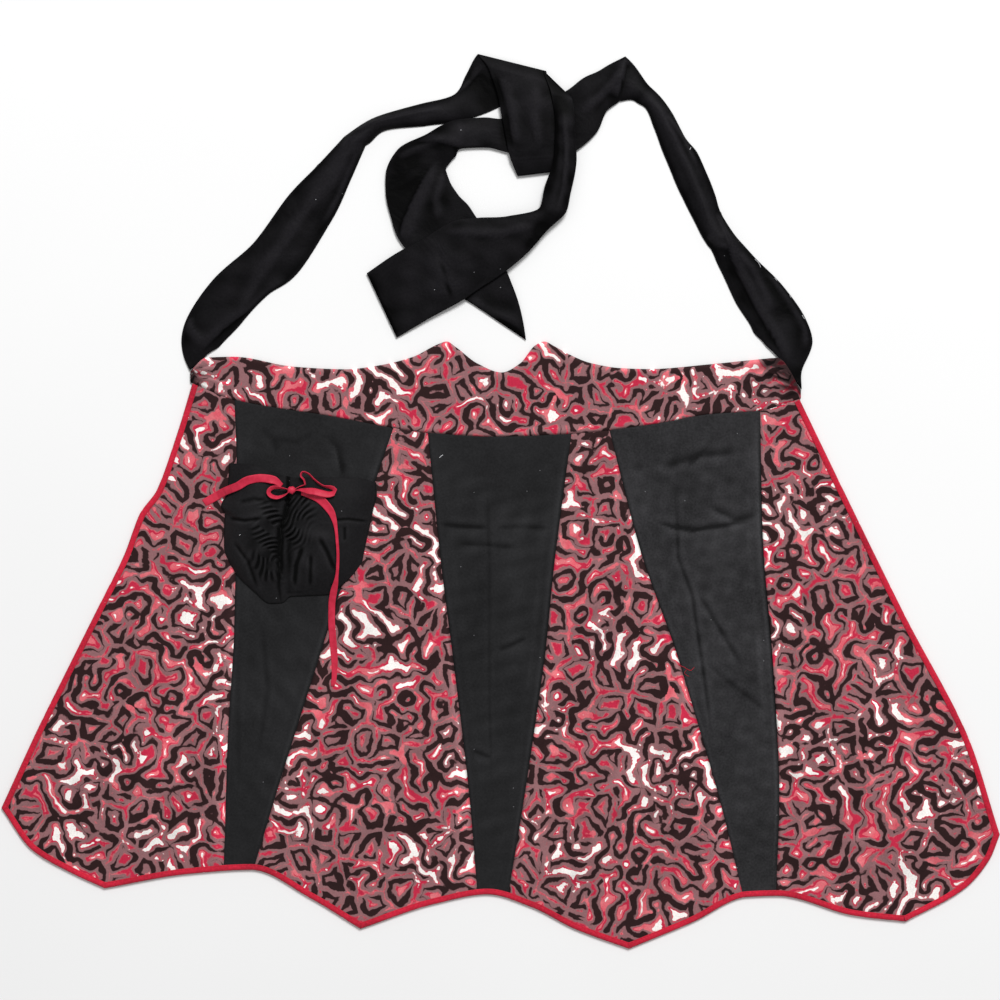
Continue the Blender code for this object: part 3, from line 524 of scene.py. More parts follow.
def plain_cotton(name, colour, roughness=0.88, sheen=0.03, specular=0.12, shade_paint=0.8, bloom=1.6):
    """Dyed cotton: weave, a brushed bloom in soft patches, a few pale specks of lint, and painted
    highlights on its ridges and painted shade in its hollows.
    """
    material, tree, shader, places = finish_of(name, colour, roughness, sheen, specular)
    patches = clouds(tree, places, 16.0, 5.0, Roughness=0.62)
    yarn = clouds(tree, places, 620.0, 2.0)
    tone = calc(tree, "ADD", calc(tree, "MULTIPLY", patches, 0.6), calc(tree, "MULTIPLY", yarn, 0.4))
    tone = add(tree, "MapRange", {"Value": tone, "From Min": 0.3, "From Max": 0.7})
    dark = tuple(c * 0.62 for c in colour[:3]) + (1.0,)
    pale = tuple(min(1.0, c * bloom) for c in colour[:3]) + (1.0,)
    cloth = blend(tree, tone, dark, pale)
    cells = {"Vector": places, "Scale": 95.0}
    lint, rare = (add(tree, "TexVoronoi", cells, out, voronoi_dimensions="2D") for out in (0, 1))
    chosen = calc(tree, "GREATER_THAN", add(tree, "SeparateColor", {0: rare}), 0.965)
    speck = calc(tree, "MULTIPLY", calc(tree, "LESS_THAN", lint, 0.035), chosen)
    cloth = blend(tree, calc(tree, "MULTIPLY", speck, 0.35), cloth, LINT_GREY)
    # Painted highlights on the ridges and painted shade in the hollows.
    tree.links.new(painted_relief_shading(tree, cloth, shade_paint), shader.inputs["Base Color"])
    weave_bump(tree, shader, places, 0.35, 34.0)
    return material


def stroke_distance(tree, places):
    """Distance from the print's nearest dark stroke: level lines of a smooth noise, its height over its
    slope, make worms and loops, and lines set in from the edges of uneven cells make rings and squares.
    Broad patches choose between them."""
    step, fineness, set_in, cell = 0.0008, 66.0, 0.0042, 47.0
    moved = [add(tree, "VectorMath", {0: places, 1: by}) for by in ((0, 0, 0), (step, 0, 0), (0, step, 0))]
    level = [clouds(tree, place, fineness, 0.0, space="2D") for place in moved]
    rise = [calc(tree, "SUBTRACT", one, level[0]) for one in level[1:]]
    squares = [calc(tree, "MULTIPLY", one, one) for one in rise]
    slope = calc(tree, "DIVIDE", calc(tree, "SQRT", calc(tree, "ADD", *squares)), step)
    worms = calc(tree, "DIVIDE", calc(tree, "ABSOLUTE", calc(tree, "SUBTRACT", level[0], 0.5)),
                 calc(tree, "ADD", slope, fineness * 0.13))
    edge = add(tree, "TexVoronoi", {"Vector": places, "Scale": cell, "Randomness": 0.85},
               voronoi_dimensions="2D", feature="DISTANCE_TO_EDGE")
    rings = calc(tree, "ABSOLUTE", calc(tree, "SUBTRACT", calc(tree, "DIVIDE", edge, cell), set_in))
    patch = clouds(tree, places, 24.0, 0.0, space="2D")
    choice = calc(tree, "MULTIPLY", calc(tree, "SUBTRACT", patch, 0.5), 12.0, clamp=True)
    return add(tree, "Mix", {"Factor": choice, 2: worms, 3: rings})


def printed_cotton(name, turn, shift):
    """Cotton with an all-over abstract animal-skin print: black strokes, a taupe edge round each, crimson
    and coral between them, and white cracks in patches where the coral is widest."""
    material, tree, shader, places = finish_of(name, PRINT_TAUPE, 0.82, sheen=0.03, specular=0.1)
    cut = add(tree, "Mapping", {"Vector": places, "Location": (*shift, 0.0), "Rotation": (0.0, 0.0, turn)})
    shake = clouds(tree, cut, 110.0, 1.0, 1, "2D")
    shake = add(tree, "VectorMath", {0: shake, 1: (0.5, 0.5, 0.5)}, operation="SUBTRACT")
    wobbly = add(tree, "VectorMath", {0: cut, 1: scaled(tree, shake, 0.0048)})
    away = stroke_distance(tree, wobbly)

    def noise(scale, detail, low, high):
        """Noise carried from its middle range to low and high."""
        made = clouds(tree, cut, scale, detail, space="2D")
        return add(tree, "MapRange", {"Value": made, "To Min": low, "To Max": high}, clamp=False)

    rim = calc(tree, "SUBTRACT", away, noise(48.0, 1.0, -0.0020, 0.0044))
    fine = calc(tree, "ADD", rim, noise(700.0, 2.0, -0.0004, 0.0004))
    ragged = calc(tree, "ADD", rim, noise(380.0, 2.0, -0.0013, 0.0013))

    def laid_over(under, colour, distance, begins, sharp=1700.0):
        """Print a colour over another where the distance passes a place."""
        cover = calc(tree, "MULTIPLY", calc(tree, "SUBTRACT", distance, begins), sharp, clamp=True)
        return blend(tree, cover, under, colour)

    inks = laid_over(PRINT_BLACK, PRINT_TAUPE, fine, 0.0)
    coral = blend(tree, noise(130.0, 2.0, -0.4, 1.4), PRINT_CORAL, PRINT_PINK)
    inks = laid_over(inks, coral, fine, 0.0023, 900.0)
    inks = laid_over(inks, PRINT_CRIMSON, ragged, noise(55.0, 1.0, 0.0008, 0.0040), 900.0)
    inks = laid_over(inks, coral, ragged, noise(50.0, 1.0, 0.0132, -0.0030))
    cracks = calc(tree, "ADD", ragged, noise(210.0, 2.0, -0.0030, 0.0030))
    white_from = calc(tree, "MAXIMUM", noise(15.0, 1.0, 0.0430, -0.0240), 0.0035)
    inks = laid_over(inks, PRINT_WHITE, cracks, white_from)
    inks = scaled(tree, inks, noise(800.0, 2.0, 0.78, 1.2))
    # Painted highlights on the print's ridges and painted shade in its hollows, weaker than on plain cloth.
    tree.links.new(painted_relief_shading(tree, inks, 0.4), shader.inputs["Base Color"])
    weave_bump(tree, shader, places, 0.3, 16.0)
    return material


def skirt_lift(plan, u, v, sides):
    """Height of the cloth over the table: held up where it enters the band and the binding, and creased."""
    length = np.linalg.norm(plan[-1] - plan[0], axis=-1)[None]
    far = np.minimum(v[:, None] * length, (1 - v)[:, None] * length)
    for side in sides:
        far = np.minimum(far, np.linalg.norm(plan - plan[:, side:side + 1 or None], axis=-1))
    free = np.clip(far / LIFT_REACH, 0, 1)
    return EDGE_LIFT * (1 - smooth(free)), free


def skirt_panel(name, left, right, finish, sides, seed):
    """One panel: its plan at the height of the cloth, with the spare cloth beyond its right seam. Sides are
    the panel's columns that lie on the skirt's own side edges."""
    wide = max((right[1] - left[1]) * HEM_WIDTH, (right[0] - left[0]) * BAND_WIDTH) / 2
    cell, rows = (FINE_CELL, FINE_ROWS) if wide < NARROW_PANEL else (BROAD_CELL, BROAD_ROWS)
    sharp = np.array([at for at in HEM_POINTS if left[1] < at < right[1]])
    u = np.sort(np.r_[np.linspace(0, 1, int(wide / cell)), (sharp - left[1]) / (right[1] - left[1])])
    v = np.linspace(0, 1, rows)
    plan = panel_plan(left, right, u, v)
    lift, free = skirt_lift(plan, u, v, sides)
    from_left = np.linalg.norm(plan - plan[:, :1], axis=-1)
    from_right = np.linalg.norm(plan - plan[:, -1:], axis=-1)
    top = np.full(plan.shape[:2], TABLE_TO_TOP)
    if 0 not in sides:
        top = np.minimum(top, SEAM_OVER + (TABLE_TO_TOP - SEAM_OVER) * smooth(from_left / OVER_SLOPE))
    if -1 not in sides:
        top = np.minimum(top, SEAM_UNDER + (TABLE_TO_TOP - SEAM_UNDER) * smooth(from_right / UNDER_SLOPE))
    x, y = plan[..., 0], plan[..., 1]
    relief = ridges(x, y, CREASES) - CREASE_DEPTH * creased(x, y, SKIRT_CREASES)
    relief += (LONG_WAVE_HEIGHT * (1 + ripple(x, y, LONG_WAVES, seed))
               + SHORT_WAVE_HEIGHT * (1 + ripple(x, y, SHORT_WAVES, seed + 1)))
    seam_free = smooth(np.minimum(from_left, from_right) / SEAM_CALM)
    calm = 1.0 if sides else 0.25 + 0.75 * seam_free
    grid = np.dstack([plan, np.maximum(top + lift + relief * free * calm, SEAM_UNDER)])
    if -1 not in sides:
        outward = unit(plan[:, -1] - plan[:, -2])
        spare = []
        for reach in (0.0006, SEAM_SPARE / 2, SEAM_SPARE):
            row = grid[:, -1].copy()
            row[:, :2] += outward * reach
            row[:, 2] = np.minimum(row[:, 2], lift[:, -1] + SEAM_UNDER)
            spare.append(row)
        grid = np.concatenate([grid, np.stack(spare, axis=1)], axis=1)
    # Painted highlights on the panel's ridges and painted shade in its hollows, none where the cloth is
    # held up.
    painted_shading = standing_out(grid, 4, 0.0003) * np.pad(free, [(0, 0), (0, grid.shape[1] - free.shape[1])])
    piece = mesh_piece(name + "_cloth", grid, grid_faces(*grid.shape[:2]), finish, painted_shading=painted_shading)
    thicken(piece, CLOTH)
    dress(piece, name)
    surfaces[name] = grid


surfaces = {}
black_finish = plain_cotton("black_cotton", BLACK_COTTON, shade_paint=0.7)
dusty_finish = plain_cotton("black_cotton_dusty", DUSTY_COTTON, shade_paint=0.7, bloom=2.3)

# Left to right: the turn and shift with which a printed panel was cut from its cloth, or a gore's finish
PANELS = [
    ("print_side_left", 0.35, (0.13, 0.40)), ("black_gore_left", None, black_finish),
    ("print_middle_left", -0.12, (0.61, -0.22)), ("black_gore_middle", None, black_finish),
    ("print_middle_right", 0.2, (-0.35, 0.15)), ("black_gore_right", None, dusty_finish),
    ("print_side_right", -0.3, (0.27, 0.71)),
]
for number, (name, turn, cut) in enumerate(PANELS):
    finish = cut if turn is None else printed_cotton(name + "_print", turn, cut)
    slot = "black_cotton" if turn is None else "printed_cotton"
    sides = {0: (0,), len(PANELS) - 1: (-1,)}.get(number, ())
    skirt_panel(name, SEAMS[number], SEAMS[number + 1], finish, sides, 10 + number)

# The binding: a strip of red cotton, folded over the skirt's sides and hem with its edges turned in, and
# sewn through near its inner edge.
BINDING_END = 0.0003
FOLDED_CLOTH = 0.0004
PUCKERS, PUCKER_HEIGHT = 0.006, 0.00012
BINDING_RED = (0.46, 0.012, 0.034, 1.0)

# Round the fold from the back leg to the front leg: way in from the fold, height, both in metres
BINDING_PROFILE = [
    (0.0047, 0.0009), (0.0036, 0.0005), (0.0020, 0.0005), (0.0008, 0.0006), (0.0002, 0.0011), (0.0, 0.0019),
    (0.0002, 0.0028), (0.0008, 0.0034), (0.0016, 0.00365), (0.0026, 0.0037), (0.0034, 0.00355),
    (0.0039, 0.0033), (0.0043, 0.0034), (0.0047, 0.0031), (0.0048, 0.0028),
]


def inward(line):
    """Miter directions across a line of places, to its left, for a set-in of one unit."""
    side = unit(np.diff(line, axis=0))
    side = np.stack([-side[:, 1], side[:, 0]], axis=-1)
    before, after = np.vstack([side[:1], side]), np.vstack([side, side[-1:]])
    return (before + after) / (1 + (before * after).sum(1))[:, None]


def folded_cloth(node, grid, thickness, finish, painted_shading=None):
    """A sheet carried round its own fold; it gets its thickness on the inside."""
    piece = mesh_piece(node + "_cloth", grid, grid_faces(*grid.shape[:2]), finish, painted_shading=painted_shading)
    thicken(piece, thickness)
    dress(piece, node)
    return piece


down = np.linspace(0, 1, 220)
hem_line = hem_place(np.sort(np.r_[np.linspace(-1, 1, 700), HEM_POINTS]))
left_line, right_line = seam_line(SEAMS[0], down), seam_line(SEAMS[-1], down)
outline = np.vstack([left_line[:-1], hem_line, right_line[-2::-1]])
outline[[0, -1], 1] -= BINDING_END
set_in = inward(outline)
profile = np.array(BINDING_PROFILE)
binding_grid = np.zeros((len(outline), len(profile), 3))
binding_grid[..., :2] = outline[:, None] + set_in[:, None] * profile[None, :, :1]
binding_grid[..., 2] = profile[None, :, 1]
pucker = PUCKER_HEIGHT * ripple(outline[:, 0], outline[:, 1], PUCKERS, 40)
binding_grid[:, 6:, 2] += pucker[:, None] * np.sin(np.linspace(0, math.pi, len(profile) - 6))
binding_finish = plain_cotton("red_cotton", BINDING_RED, roughness=0.7, sheen=0.1)
binding = folded_cloth("edge_binding", binding_grid, FOLDED_CLOTH, binding_finish)

# The waistband: printed cotton folded along its two-pointed top edge, with the skirt sewn into its foot
# and its ends drawn into the ties.
BAND_TALL = 0.0038
OFF_TABLE = 0.0001
SEAM_DIP, SEAM_DIP_REACH = 0.0009, 0.0018
SEAM_SINK, SEAM_SINK_REACH = 0.0003, 0.006
BAND_WAVES, BAND_WAVE_HEIGHT = 0.022, 0.0002
BAND_END_REACH = 0.004

# Waistband's upper edge, with its two rounded points: across, rise, as in the lower edge
BAND_TOP = [
    (-1.0, 0.69), (-0.95, 0.83), (-0.86, 0.84), (-0.66, 0.735), (-0.49, 0.708), (-0.38, 0.75),
    (-0.27, 0.84), (-0.19, 0.97), (-0.16, 1.0), (-0.13, 0.94), (-0.06, 0.77), (0.02, 0.675),
    (0.08, 0.77), (0.13, 0.96), (0.16, 1.0), (0.19, 0.955), (0.24, 0.866), (0.31, 0.775),
    (0.41, 0.72), (0.5, 0.71), (0.7, 0.76), (0.84, 0.805), (0.926, 0.828), (1.0, 0.49),
]

# Pleats where the band's ends are drawn into the ties, in the same columns as the skirt's folds
BAND_PLEATS = [
    ([(191, 43), (215, 52), (237, 43)], 1.2, 4, 1.2),
    ([(201, 33), (222, 43), (238, 39)], 1, 3, 1),
    ([(212, 55), (227, 52), (238, 44)], 1, 3, 1),
    ([(217, 28), (230, 35), (239, 37)], 0.8, 3, 1),
    ([(-212, 41), (-231, 46), (-246, 49)], 1, 3, 1),
    ([(-218, 33), (-233, 39), (-247, 46)], 0.9, 3, 1),
    ([(-223, 57), (-236, 55), (-247, 51)], 0.8, 3, 1),
]

# Shaded hollows beside the ties, in the same columns, with the height as a depth of shade
BAND_HOLLOWS = [
    ([(208, 74), (226, 62), (236, 50), (246, 30)], 3.4, 14, 14),
    ([(-242, 26), (-248, 40), (-246, 60)], 2.6, 9, 9),
]

band_across = np.sort(np.r_[np.linspace(-1, 1, 400), [row[0] for row in BAND_TOP]])
band_low_edge = waist_y(band_across)
band_top_edge = seam_y + BAND_HEIGHT * eased(BAND_TOP, band_across)
band_deep = band_top_edge - band_low_edge
front_leg = np.linspace(0, 1, 36)
back_leg = front_leg[::4]
round_fold = np.linspace(-math.pi / 2, math.pi / 2, 9)[1:-1]
half_tall = BAND_TALL / 2 - OFF_TABLE
from_top = np.r_[1 - back_leg, np.zeros(len(round_fold)), front_leg]
fold_in = np.full(len(from_top), half_tall)
fold_z = np.r_[back_leg * 0, half_tall * (1 + np.sin(round_fold)), np.full(len(front_leg), 2 * half_tall)]
fold_in[len(back_leg):-len(front_leg)] *= 1 - np.cos(round_fold)
band_y = band_top_edge[:, None] - fold_in - from_top * (band_deep[:, None] - half_tall)
band_z = np.broadcast_to(fold_z, band_y.shape) + OFF_TABLE
front = band_z > BAND_TALL * 0.6
seam_near = band_y - band_low_edge[:, None]
end_near = np.minimum(band_across + 1, 1 - band_across)[:, None] * BAND_WIDTH / 2
band_grid = np.dstack([np.broadcast_to(band_x(band_across)[:, None], band_y.shape), band_y, band_z])
fall = (SEAM_DIP * (1 - smooth(seam_near / SEAM_DIP_REACH))
        + SEAM_SINK * (1 - smooth(seam_near / SEAM_SINK_REACH)))
wave = BAND_WAVE_HEIGHT * (1 - ripple(band_grid[..., 0], band_y, BAND_WAVES, 50)) * smooth(seam_near / 0.01)
pleats = creased(band_grid[..., 0], band_y, BAND_PLEATS) * smooth(seam_near / SEAM_SINK_REACH)
band_grid[..., 2] += front * (pleats - fall - wave)
band_grid[..., 2] += (BAND_TALL / 2 - band_grid[..., 2]) * 0.6 * (1 - smooth(end_near / BAND_END_REACH))
band_finish = printed_cotton("waistband_print", 1.45, (0.83, 0.52))
# Painted highlights on the band front's ridges, painted shade in its hollows and deeper painted shade
# beside the ties.
band_painted_shading = standing_out(band_grid, 3) * front * smooth(seam_near / SEAM_SINK_REACH)
band_painted_shading -= creased(band_grid[..., 0], band_y, BAND_HOLLOWS) * 1000
band = folded_cloth("waistband", band_grid[:, ::-1], FOLDED_CLOTH, band_finish,
                    band_painted_shading[:, ::-1])

# The two ties: long straps of thin black cotton from the band's slanted ends. They are folded lengthwise
# where they look narrow, and are thrown over each other above the band in a loose open hitch.
TIE_WIDTH = 0.058
TIE_RISE = 0.254
TIE_START_GAP = 0.0007
TIE_LAYER = 0.0018
TIE_THICK = 0.0012
TIE_CLOTH = 0.00035
TIE_BEND = 0.0003
TIE_WAVES, TIE_WAVE_HEIGHT = 0.020, 0.00022
TIE_BLACK = (0.0043, 0.0040, 0.0047, 1.0)

# Each tie from the band's end on: across, share of half the band; up, share of the rise; turn of the
# section in degrees; width, share of the tie's; level, in layers of cloth; crown, share of the width;
# share of the spare width that is turned under at the section's far side
TIE_LEFT = [
    (-0.965, 0.080, 1, 0.54, 0.0, 0.03, 1), (-0.919, 0.164, -6, 0.76, 0.0, 0.03, 1),
    (-0.837, 0.263, -15, 0.79, 0.0, 0.03, 1), (-0.729, 0.348, -30, 0.75, 0.0, 0.04, 1),
    (-0.612, 0.509, -25, 0.70, 0.0, 0.05, 1), (-0.529, 0.625, -24, 0.50, 0.0, 0.09, 1),
    (-0.461, 0.724, -22, 0.32, 0.0, 0.12, 0.5), (-0.373, 0.780, -70, 0.22, 0.0, 0.10, 0.5),
    (-0.242, 0.806, -80, 0.31, 0.0, 0.08, 0), (-0.132, 0.827, -74, 0.36, 0.0, 0.04, 0),
    (-0.042, 0.882, -43, 0.64, 0.0, 0.0, 0), (0.053, 0.969, -14, 0.97, 1.3, 0.0, 0),
    (0.073, 0.932, -15, 0.86, 2.2, 0.02, 0), (0.112, 0.843, 1, 0.83, 2.2, 0.04, 0),
    (0.121, 0.718, 5, 0.70, 2.2, 0.02, 0), (0.122, 0.669, 4, 0.60, 2.2, 0.0, 0),
    (0.127, 0.620, 7, 0.46, 1.0, 0.0, 0), (0.127, 0.663, 5, 0.48, 0.0, 0.0, 0),
    (0.140, 0.739, 18, 0.50, 0.0, 0.0, 0), (0.183, 0.815, 12, 0.39, 0.0, 0.0, 0),
    (0.200, 0.862, -14, 0.34, 0.0, 0.0, 0), (0.190, 0.912, -44, 0.40, 1.8, 0.0, 0),
    (0.216, 0.862, -20, 0.32, 3.6, 0.0, 0), (0.228, 0.778, 0, 0.27, 3.6, 0.04, 0.5),
    (0.228, 0.674, 0, 0.30, 3.6, 0.04, 0.5), (0.203, 0.569, -7, 0.36, 3.4, 0.04, 1),
    (0.188, 0.507, -9, 0.36, 3.2, 0.04, 1), (0.106, 0.463, -21, 0.55, 3.0, 0.03, 1),
    (0.019, 0.420, -41, 0.80, 2.8, 0.03, 1), (-0.089, 0.370, -60, 0.98, 2.6, 0.02, 1),
    (-0.171, 0.320, -64, 1.0, 2.4, 0.02, 1), (-0.274, 0.266, -66, 1.0, 1.6, 0.01, 1),
    (-0.373, 0.206, -65, 0.97, 0.6, 0.0, 1),
]
TIE_RIGHT = [
    (0.942, 0.047, -34, 0.64, 0.4, 0.02, 1), (0.939, 0.107, -15, 0.86, 0.0, 0.03, 1),
    (0.899, 0.195, -13, 0.99, 0.0, 0.03, 1), (0.839, 0.294, -15, 0.90, 0.0, 0.04, 1),
    (0.785, 0.362, -12, 0.65, 0.0, 0.07, 1), (0.734, 0.420, 12, 0.42, 0.0, 0.11, 0.5),
    (0.698, 0.479, 25, 0.38, 0.0, 0.10, 0), (0.670, 0.543, 17, 0.43, 0.0, 0.08, 0),
    (0.642, 0.605, 10, 0.46, 0.0, 0.07, 0), (0.609, 0.679, 5, 0.46, 0.0, 0.07, 0),
    (0.571, 0.748, -12, 0.42, 0.0, 0.08, 0), (0.532, 0.825, -1, 0.33, 0.0, 0.08, 0),
    (0.482, 0.872, 45, 0.29, 0.0, 0.05, 0), (0.416, 0.920, 83, 0.62, 0.5, 0.04, 0),
    (0.358, 0.886, 98, 0.57, 1.0, 0.03, 0), (0.309, 0.836, 104, 0.77, 1.1, 0.02, 0),
    (0.244, 0.785, 96, 0.86, 1.1, 0.0, 0), (0.153, 0.748, 96, 0.60, 1.1, 0.0, 0),
    (0.040, 0.740, 100, 0.48, 1.1, 0.0, 0), (-0.033, 0.750, 96, 0.42, 1.1, 0.03, 0),
    (-0.115, 0.746, 96, 0.41, 1.1, 0.06, 0), (-0.178, 0.710, 140, 0.50, 1.1, 0.05, 0),
    (-0.237, 0.674, 165, 0.74, 1.1, 0.03, 0), (-0.261, 0.627, 182, 0.83, 1.1, 0.02, 0),
    (-0.255, 0.576, 192, 0.90, 1.1, 0.01, 0), (-0.232, 0.517, 199, 0.98, 1.1, 0.0, 0),
    (-0.198, 0.460, 203, 1.08, 1.1, 0.0, 0), (-0.115, 0.351, 200, 1.02, 1.1, 0.0, 0),
    (-0.053, 0.258, 180, 0.95, 1.0, 0.0, 0), (0.004, 0.159, 146, 0.97, 0.3, 0.0, 0),
]

# Rows of the tables above where each tie turns sharply
LEFT_TURNS = (7, 12, 16, 17, 22)
RIGHT_TURNS = (14,)

# Folds on the ties, in the same columns as the skirt's folds
TIE_LEFT_FOLDS = [
    ([(-248, 60), (-221, 87), (-187, 112), (-168, 127)], 1, 9, 0.7),
    ([(-108, 243), (-117, 220), (-130, 190), (-143, 167)], 0.9, 2.5, 2.5),
    ([(-119, 243), (-104, 250), (-79, 256), (-44, 263)], 0.9, 3, 1.5),
    ([(-237, 74), (-247, 86), (-250, 97)], 0.8, 4, 2),
    ([(-212, 95), (-191, 130), (-161, 172), (-137, 206)], 0.6, 6, 3),
    ([(-37, 274), (-25, 283), (-14, 297)], 0.8, 4, 1.5),
    ([(-1, 289), (8, 262), (12, 230)], 0.7, 5, 2),
    ([(28, 284), (26, 254), (31, 230)], 0.7, 4, 2),
    ([(-58, 161), (-48, 142), (-43, 124), (-38, 106)], -0.6, 1, 1),
    ([(-49, 164), (-1, 161), (31, 169)], 0.7, 4, 2),
    ([(49, 262), (52, 230), (50, 198), (44, 177)], 0.8, 3, 1),
]
TIE_RIGHT_FOLDS = [
    ([(175, 172), (186, 140), (201, 110), (219, 79), (233, 51)], 1.1, 9, 0.7),
    ([(211, 135), (230, 110), (244, 86), (244, 68)], 0.9, 3, 3),
    ([(190, 148), (201, 134), (220, 95)], 0.6, 4, 2),
    ([(172, 180), (179, 164), (183, 149)], 0.9, 2.5, 1),
    ([(164, 161), (172, 153), (183, 150)], 0.9, 2.5, 1),
    ([(123, 267), (137, 241), (151, 212), (162, 186), (169, 159)], 0.9, 2.5, 2.5),
    ([(131, 260), (147, 238), (158, 215)], 0.8, 1.5, 1.5),
    ([(101, 298), (89, 282), (79, 271), (62, 258)], 0.9, 3, 3),
    ([(93, 270), (97, 286), (104, 305)], 1.3, 9, 0.6),
    ([(-49, 222), (-61, 204), (-70, 187), (-77, 172), (-81, 152)], 1.5, 12, 1.5),
    ([(-72, 236), (-49, 236), (-31, 231), (-9, 229)], 1.2, 6, 0.8),
    ([(-84, 222), (-65, 231), (-45, 238)], 0.7, 3, 3),
    ([(-44, 215), (-52, 190), (-49, 172)], 0.7, 4, 3),
    ([(-28, 111), (-9, 98), (19, 85)], 1, 6, 0.6),
]

# Hollows where a tie lies in the shade of its own folds, in the same columns as the band's hollows
TIE_HOLLOWS = [
    ([(-60, 228), (-76, 212), (-85, 190), (-82, 160)], 1.3, 9, 12),
    ([(30, 300), (42, 284), (49, 264), (49, 250)], 1.6, 6, 6),
    ([(-8, 287), (-5, 276), (-4, 262)], 1.2, 7, 3),
    ([(43, 268), (46, 240), (43, 205), (36, 186)], 1, 2.5, 4),
    ([(40, 184), (34, 168), (20, 146)], 1.2, 6, 6),
    ([(2, 258), (6, 230)], 1, 5, 5),
    ([(-70, 240), (-54, 234), (-38, 226)], 0.9, 4, 5),
    ([(-18, 107), (0, 93), (18, 79)], 1, 5, 5),
    ([(236, 60), (240, 42), (238, 30)], 1, 9, 9),
]


def tie_start(side):
    """Places of the tie's first section: on the band's slanted end, a small gap away from it."""
    rows = BAND_TOP[:2] if side < 0 else BAND_TOP[-2:]
    ends = np.array([(band_x(across), seam_y + BAND_HEIGHT * rise) for across, rise in rows])
    step = unit(ends[1] - ends[0])
    return ends + np.array([-step[1], step[0]]) * TIE_START_GAP


def tie_piece(name, side, rows, turns, folds, seed):
    """A strap carried along its folds. Each section is the seen width, crowned, with what is left of the
    real width turned under at its edges round small half circles."""
    first = tie_start(side)
    base = seam_y + BAND_HEIGHT * BAND_TOP[0][1]
    step = first[1] - first[0]
    turn = math.degrees(math.atan2(step[1], step[0]))
    turn -= 360 * round((turn - rows[0][2]) / 360)
    table = [(*first.mean(0), turn, np.linalg.norm(step), EDGE_LIFT, 0.0, rows[0][6])]
    for across, up, angle, width, level, crown, under in rows:
        table.append((band_x(across), base + up * TIE_RISE, angle, width * TIE_WIDTH,
                      level * TIE_LAYER, crown * TIE_WIDTH, under))
    table = np.array(table)
    sharp = np.array([row + aside for row in turns for aside in (-0.12, 0.12)])
    number = np.sort(np.r_[np.arange(len(table)), sharp])
    table = np.stack([np.interp(number, np.arange(len(table)), column) for column in table.T], axis=-1)
    at = np.sort(np.r_[np.linspace(0, number[-1], int(number[-1]) * 9 + 1), sharp])
    x, y, angle, width = (eased(np.c_[number, column], at) for column in table.T[:4])
    level, crown, under = (np.interp(at, number, column) for column in table.T[4:])
    run = np.stack([np.cos(np.radians(angle)), np.sin(np.radians(angle))], axis=-1)
    bend = TIE_BEND
    spare = np.clip(TIE_WIDTH - width - 2 * crown**2 / width, 0.002, width * 0.92)
    seen = np.sin(np.linspace(-math.pi / 2, math.pi / 2, 31) * 0.999)
    arc = np.linspace(-math.pi / 2, math.pi / 2, 7)[1:-1]
    back = np.linspace(0, 1, 7)[:-1]
    left_under = -1 + 2 * ((1 - under) * spare / width)[:, None] * (1 - back)
    right_under = 1 - 2 * (under * spare / width)[:, None] * (1 - back[::-1])
    ends = 1 - 2 * bend / width[:, None]
    rounding = (2 * bend / width)[:, None] * np.cos(arc)
    share = np.hstack([left_under, -ends - rounding, seen[None] * ends, ends + rounding, right_under])
    low, high = np.zeros(len(back)), np.ones(len(seen))
    lift = np.r_[low, (1 + np.sin(arc)) / 2, high, (1 + np.sin(arc[::-1])) / 2, low]
    layer = 2 * bend
    grid = np.zeros((len(at), share.shape[1], 3))
    sideways = (share * width[:, None] / 2)[..., None]
    grid[..., :2] = np.stack([x, y], axis=-1)[:, None] + run[:, None] * sideways
    body = TIE_THICK - layer - OFF_TABLE + layer * lift
    grid[..., 2] = level[:, None] + body + crown[:, None] * (1 - np.clip(share, -1, 1) ** 2)
    slack = smooth((1 - np.abs(share)) / 0.15) * smooth(at / 1.5)[:, None]
    wrinkles = TIE_WAVE_HEIGHT * ripple(grid[..., 0], grid[..., 1], TIE_WAVES, seed)
    grid[..., 2] += (wrinkles + creased(grid[..., 0], grid[..., 1], folds)) * slack * lift
    slack = slack * lift
    if np.cross(run[0], (x[1] - x[0], y[1] - y[0])) > 0:
        grid, slack = grid[:, ::-1], slack[:, ::-1]
    # Painted shade in the tie's listed hollows, and painted highlights and shade on the ridges and hollows
    # of its folds.
    shade = creased(grid[..., 0], grid[..., 1], TIE_HOLLOWS) * 1000
    painted_shading = (standing_out(grid, 4, 0.0003) + 0.5 * standing_out(grid, 12, 0.0015)) * slack - shade
    piece = folded_cloth(name, grid, TIE_CLOTH, tie_finish, painted_shading)
    return grid


tie_finish = plain_cotton("tie_cotton", TIE_BLACK, roughness=0.5, sheen=0.0, specular=0.042, shade_paint=0.9)
tie_piece("tie_left", -1, TIE_LEFT, LEFT_TURNS, TIE_LEFT_FOLDS, 60)
tie_right = tie_piece("tie_right", 1, TIE_RIGHT, RIGHT_TURNS, TIE_RIGHT_FOLDS, 61)

# The pocket: a black patch on the left gore, sewn down at its sides and foot and gathered down its middle,
# so that it stands up in two lobes beside a deep channel. Above the bow its mouth is a smooth flat cuff.
POCKET_PUFF = 0.014
POCKET_CHANNEL = 0.41
CHANNEL_HEIGHT = 0.2
CHANNEL_BREADTH = 0.05
POCKET_MOUTH = 0.7
POCKET_FULLEST = 0.35
LOBE_ROUND = 0.75
FOOT_ROUND = 0.7
GATHER_BREADTH = 0.045
GATHER_ENDS = 6
POCKET_REST = 0.0015
POCKET_BLACK = (0.0080, 0.0077, 0.0084, 1.0)

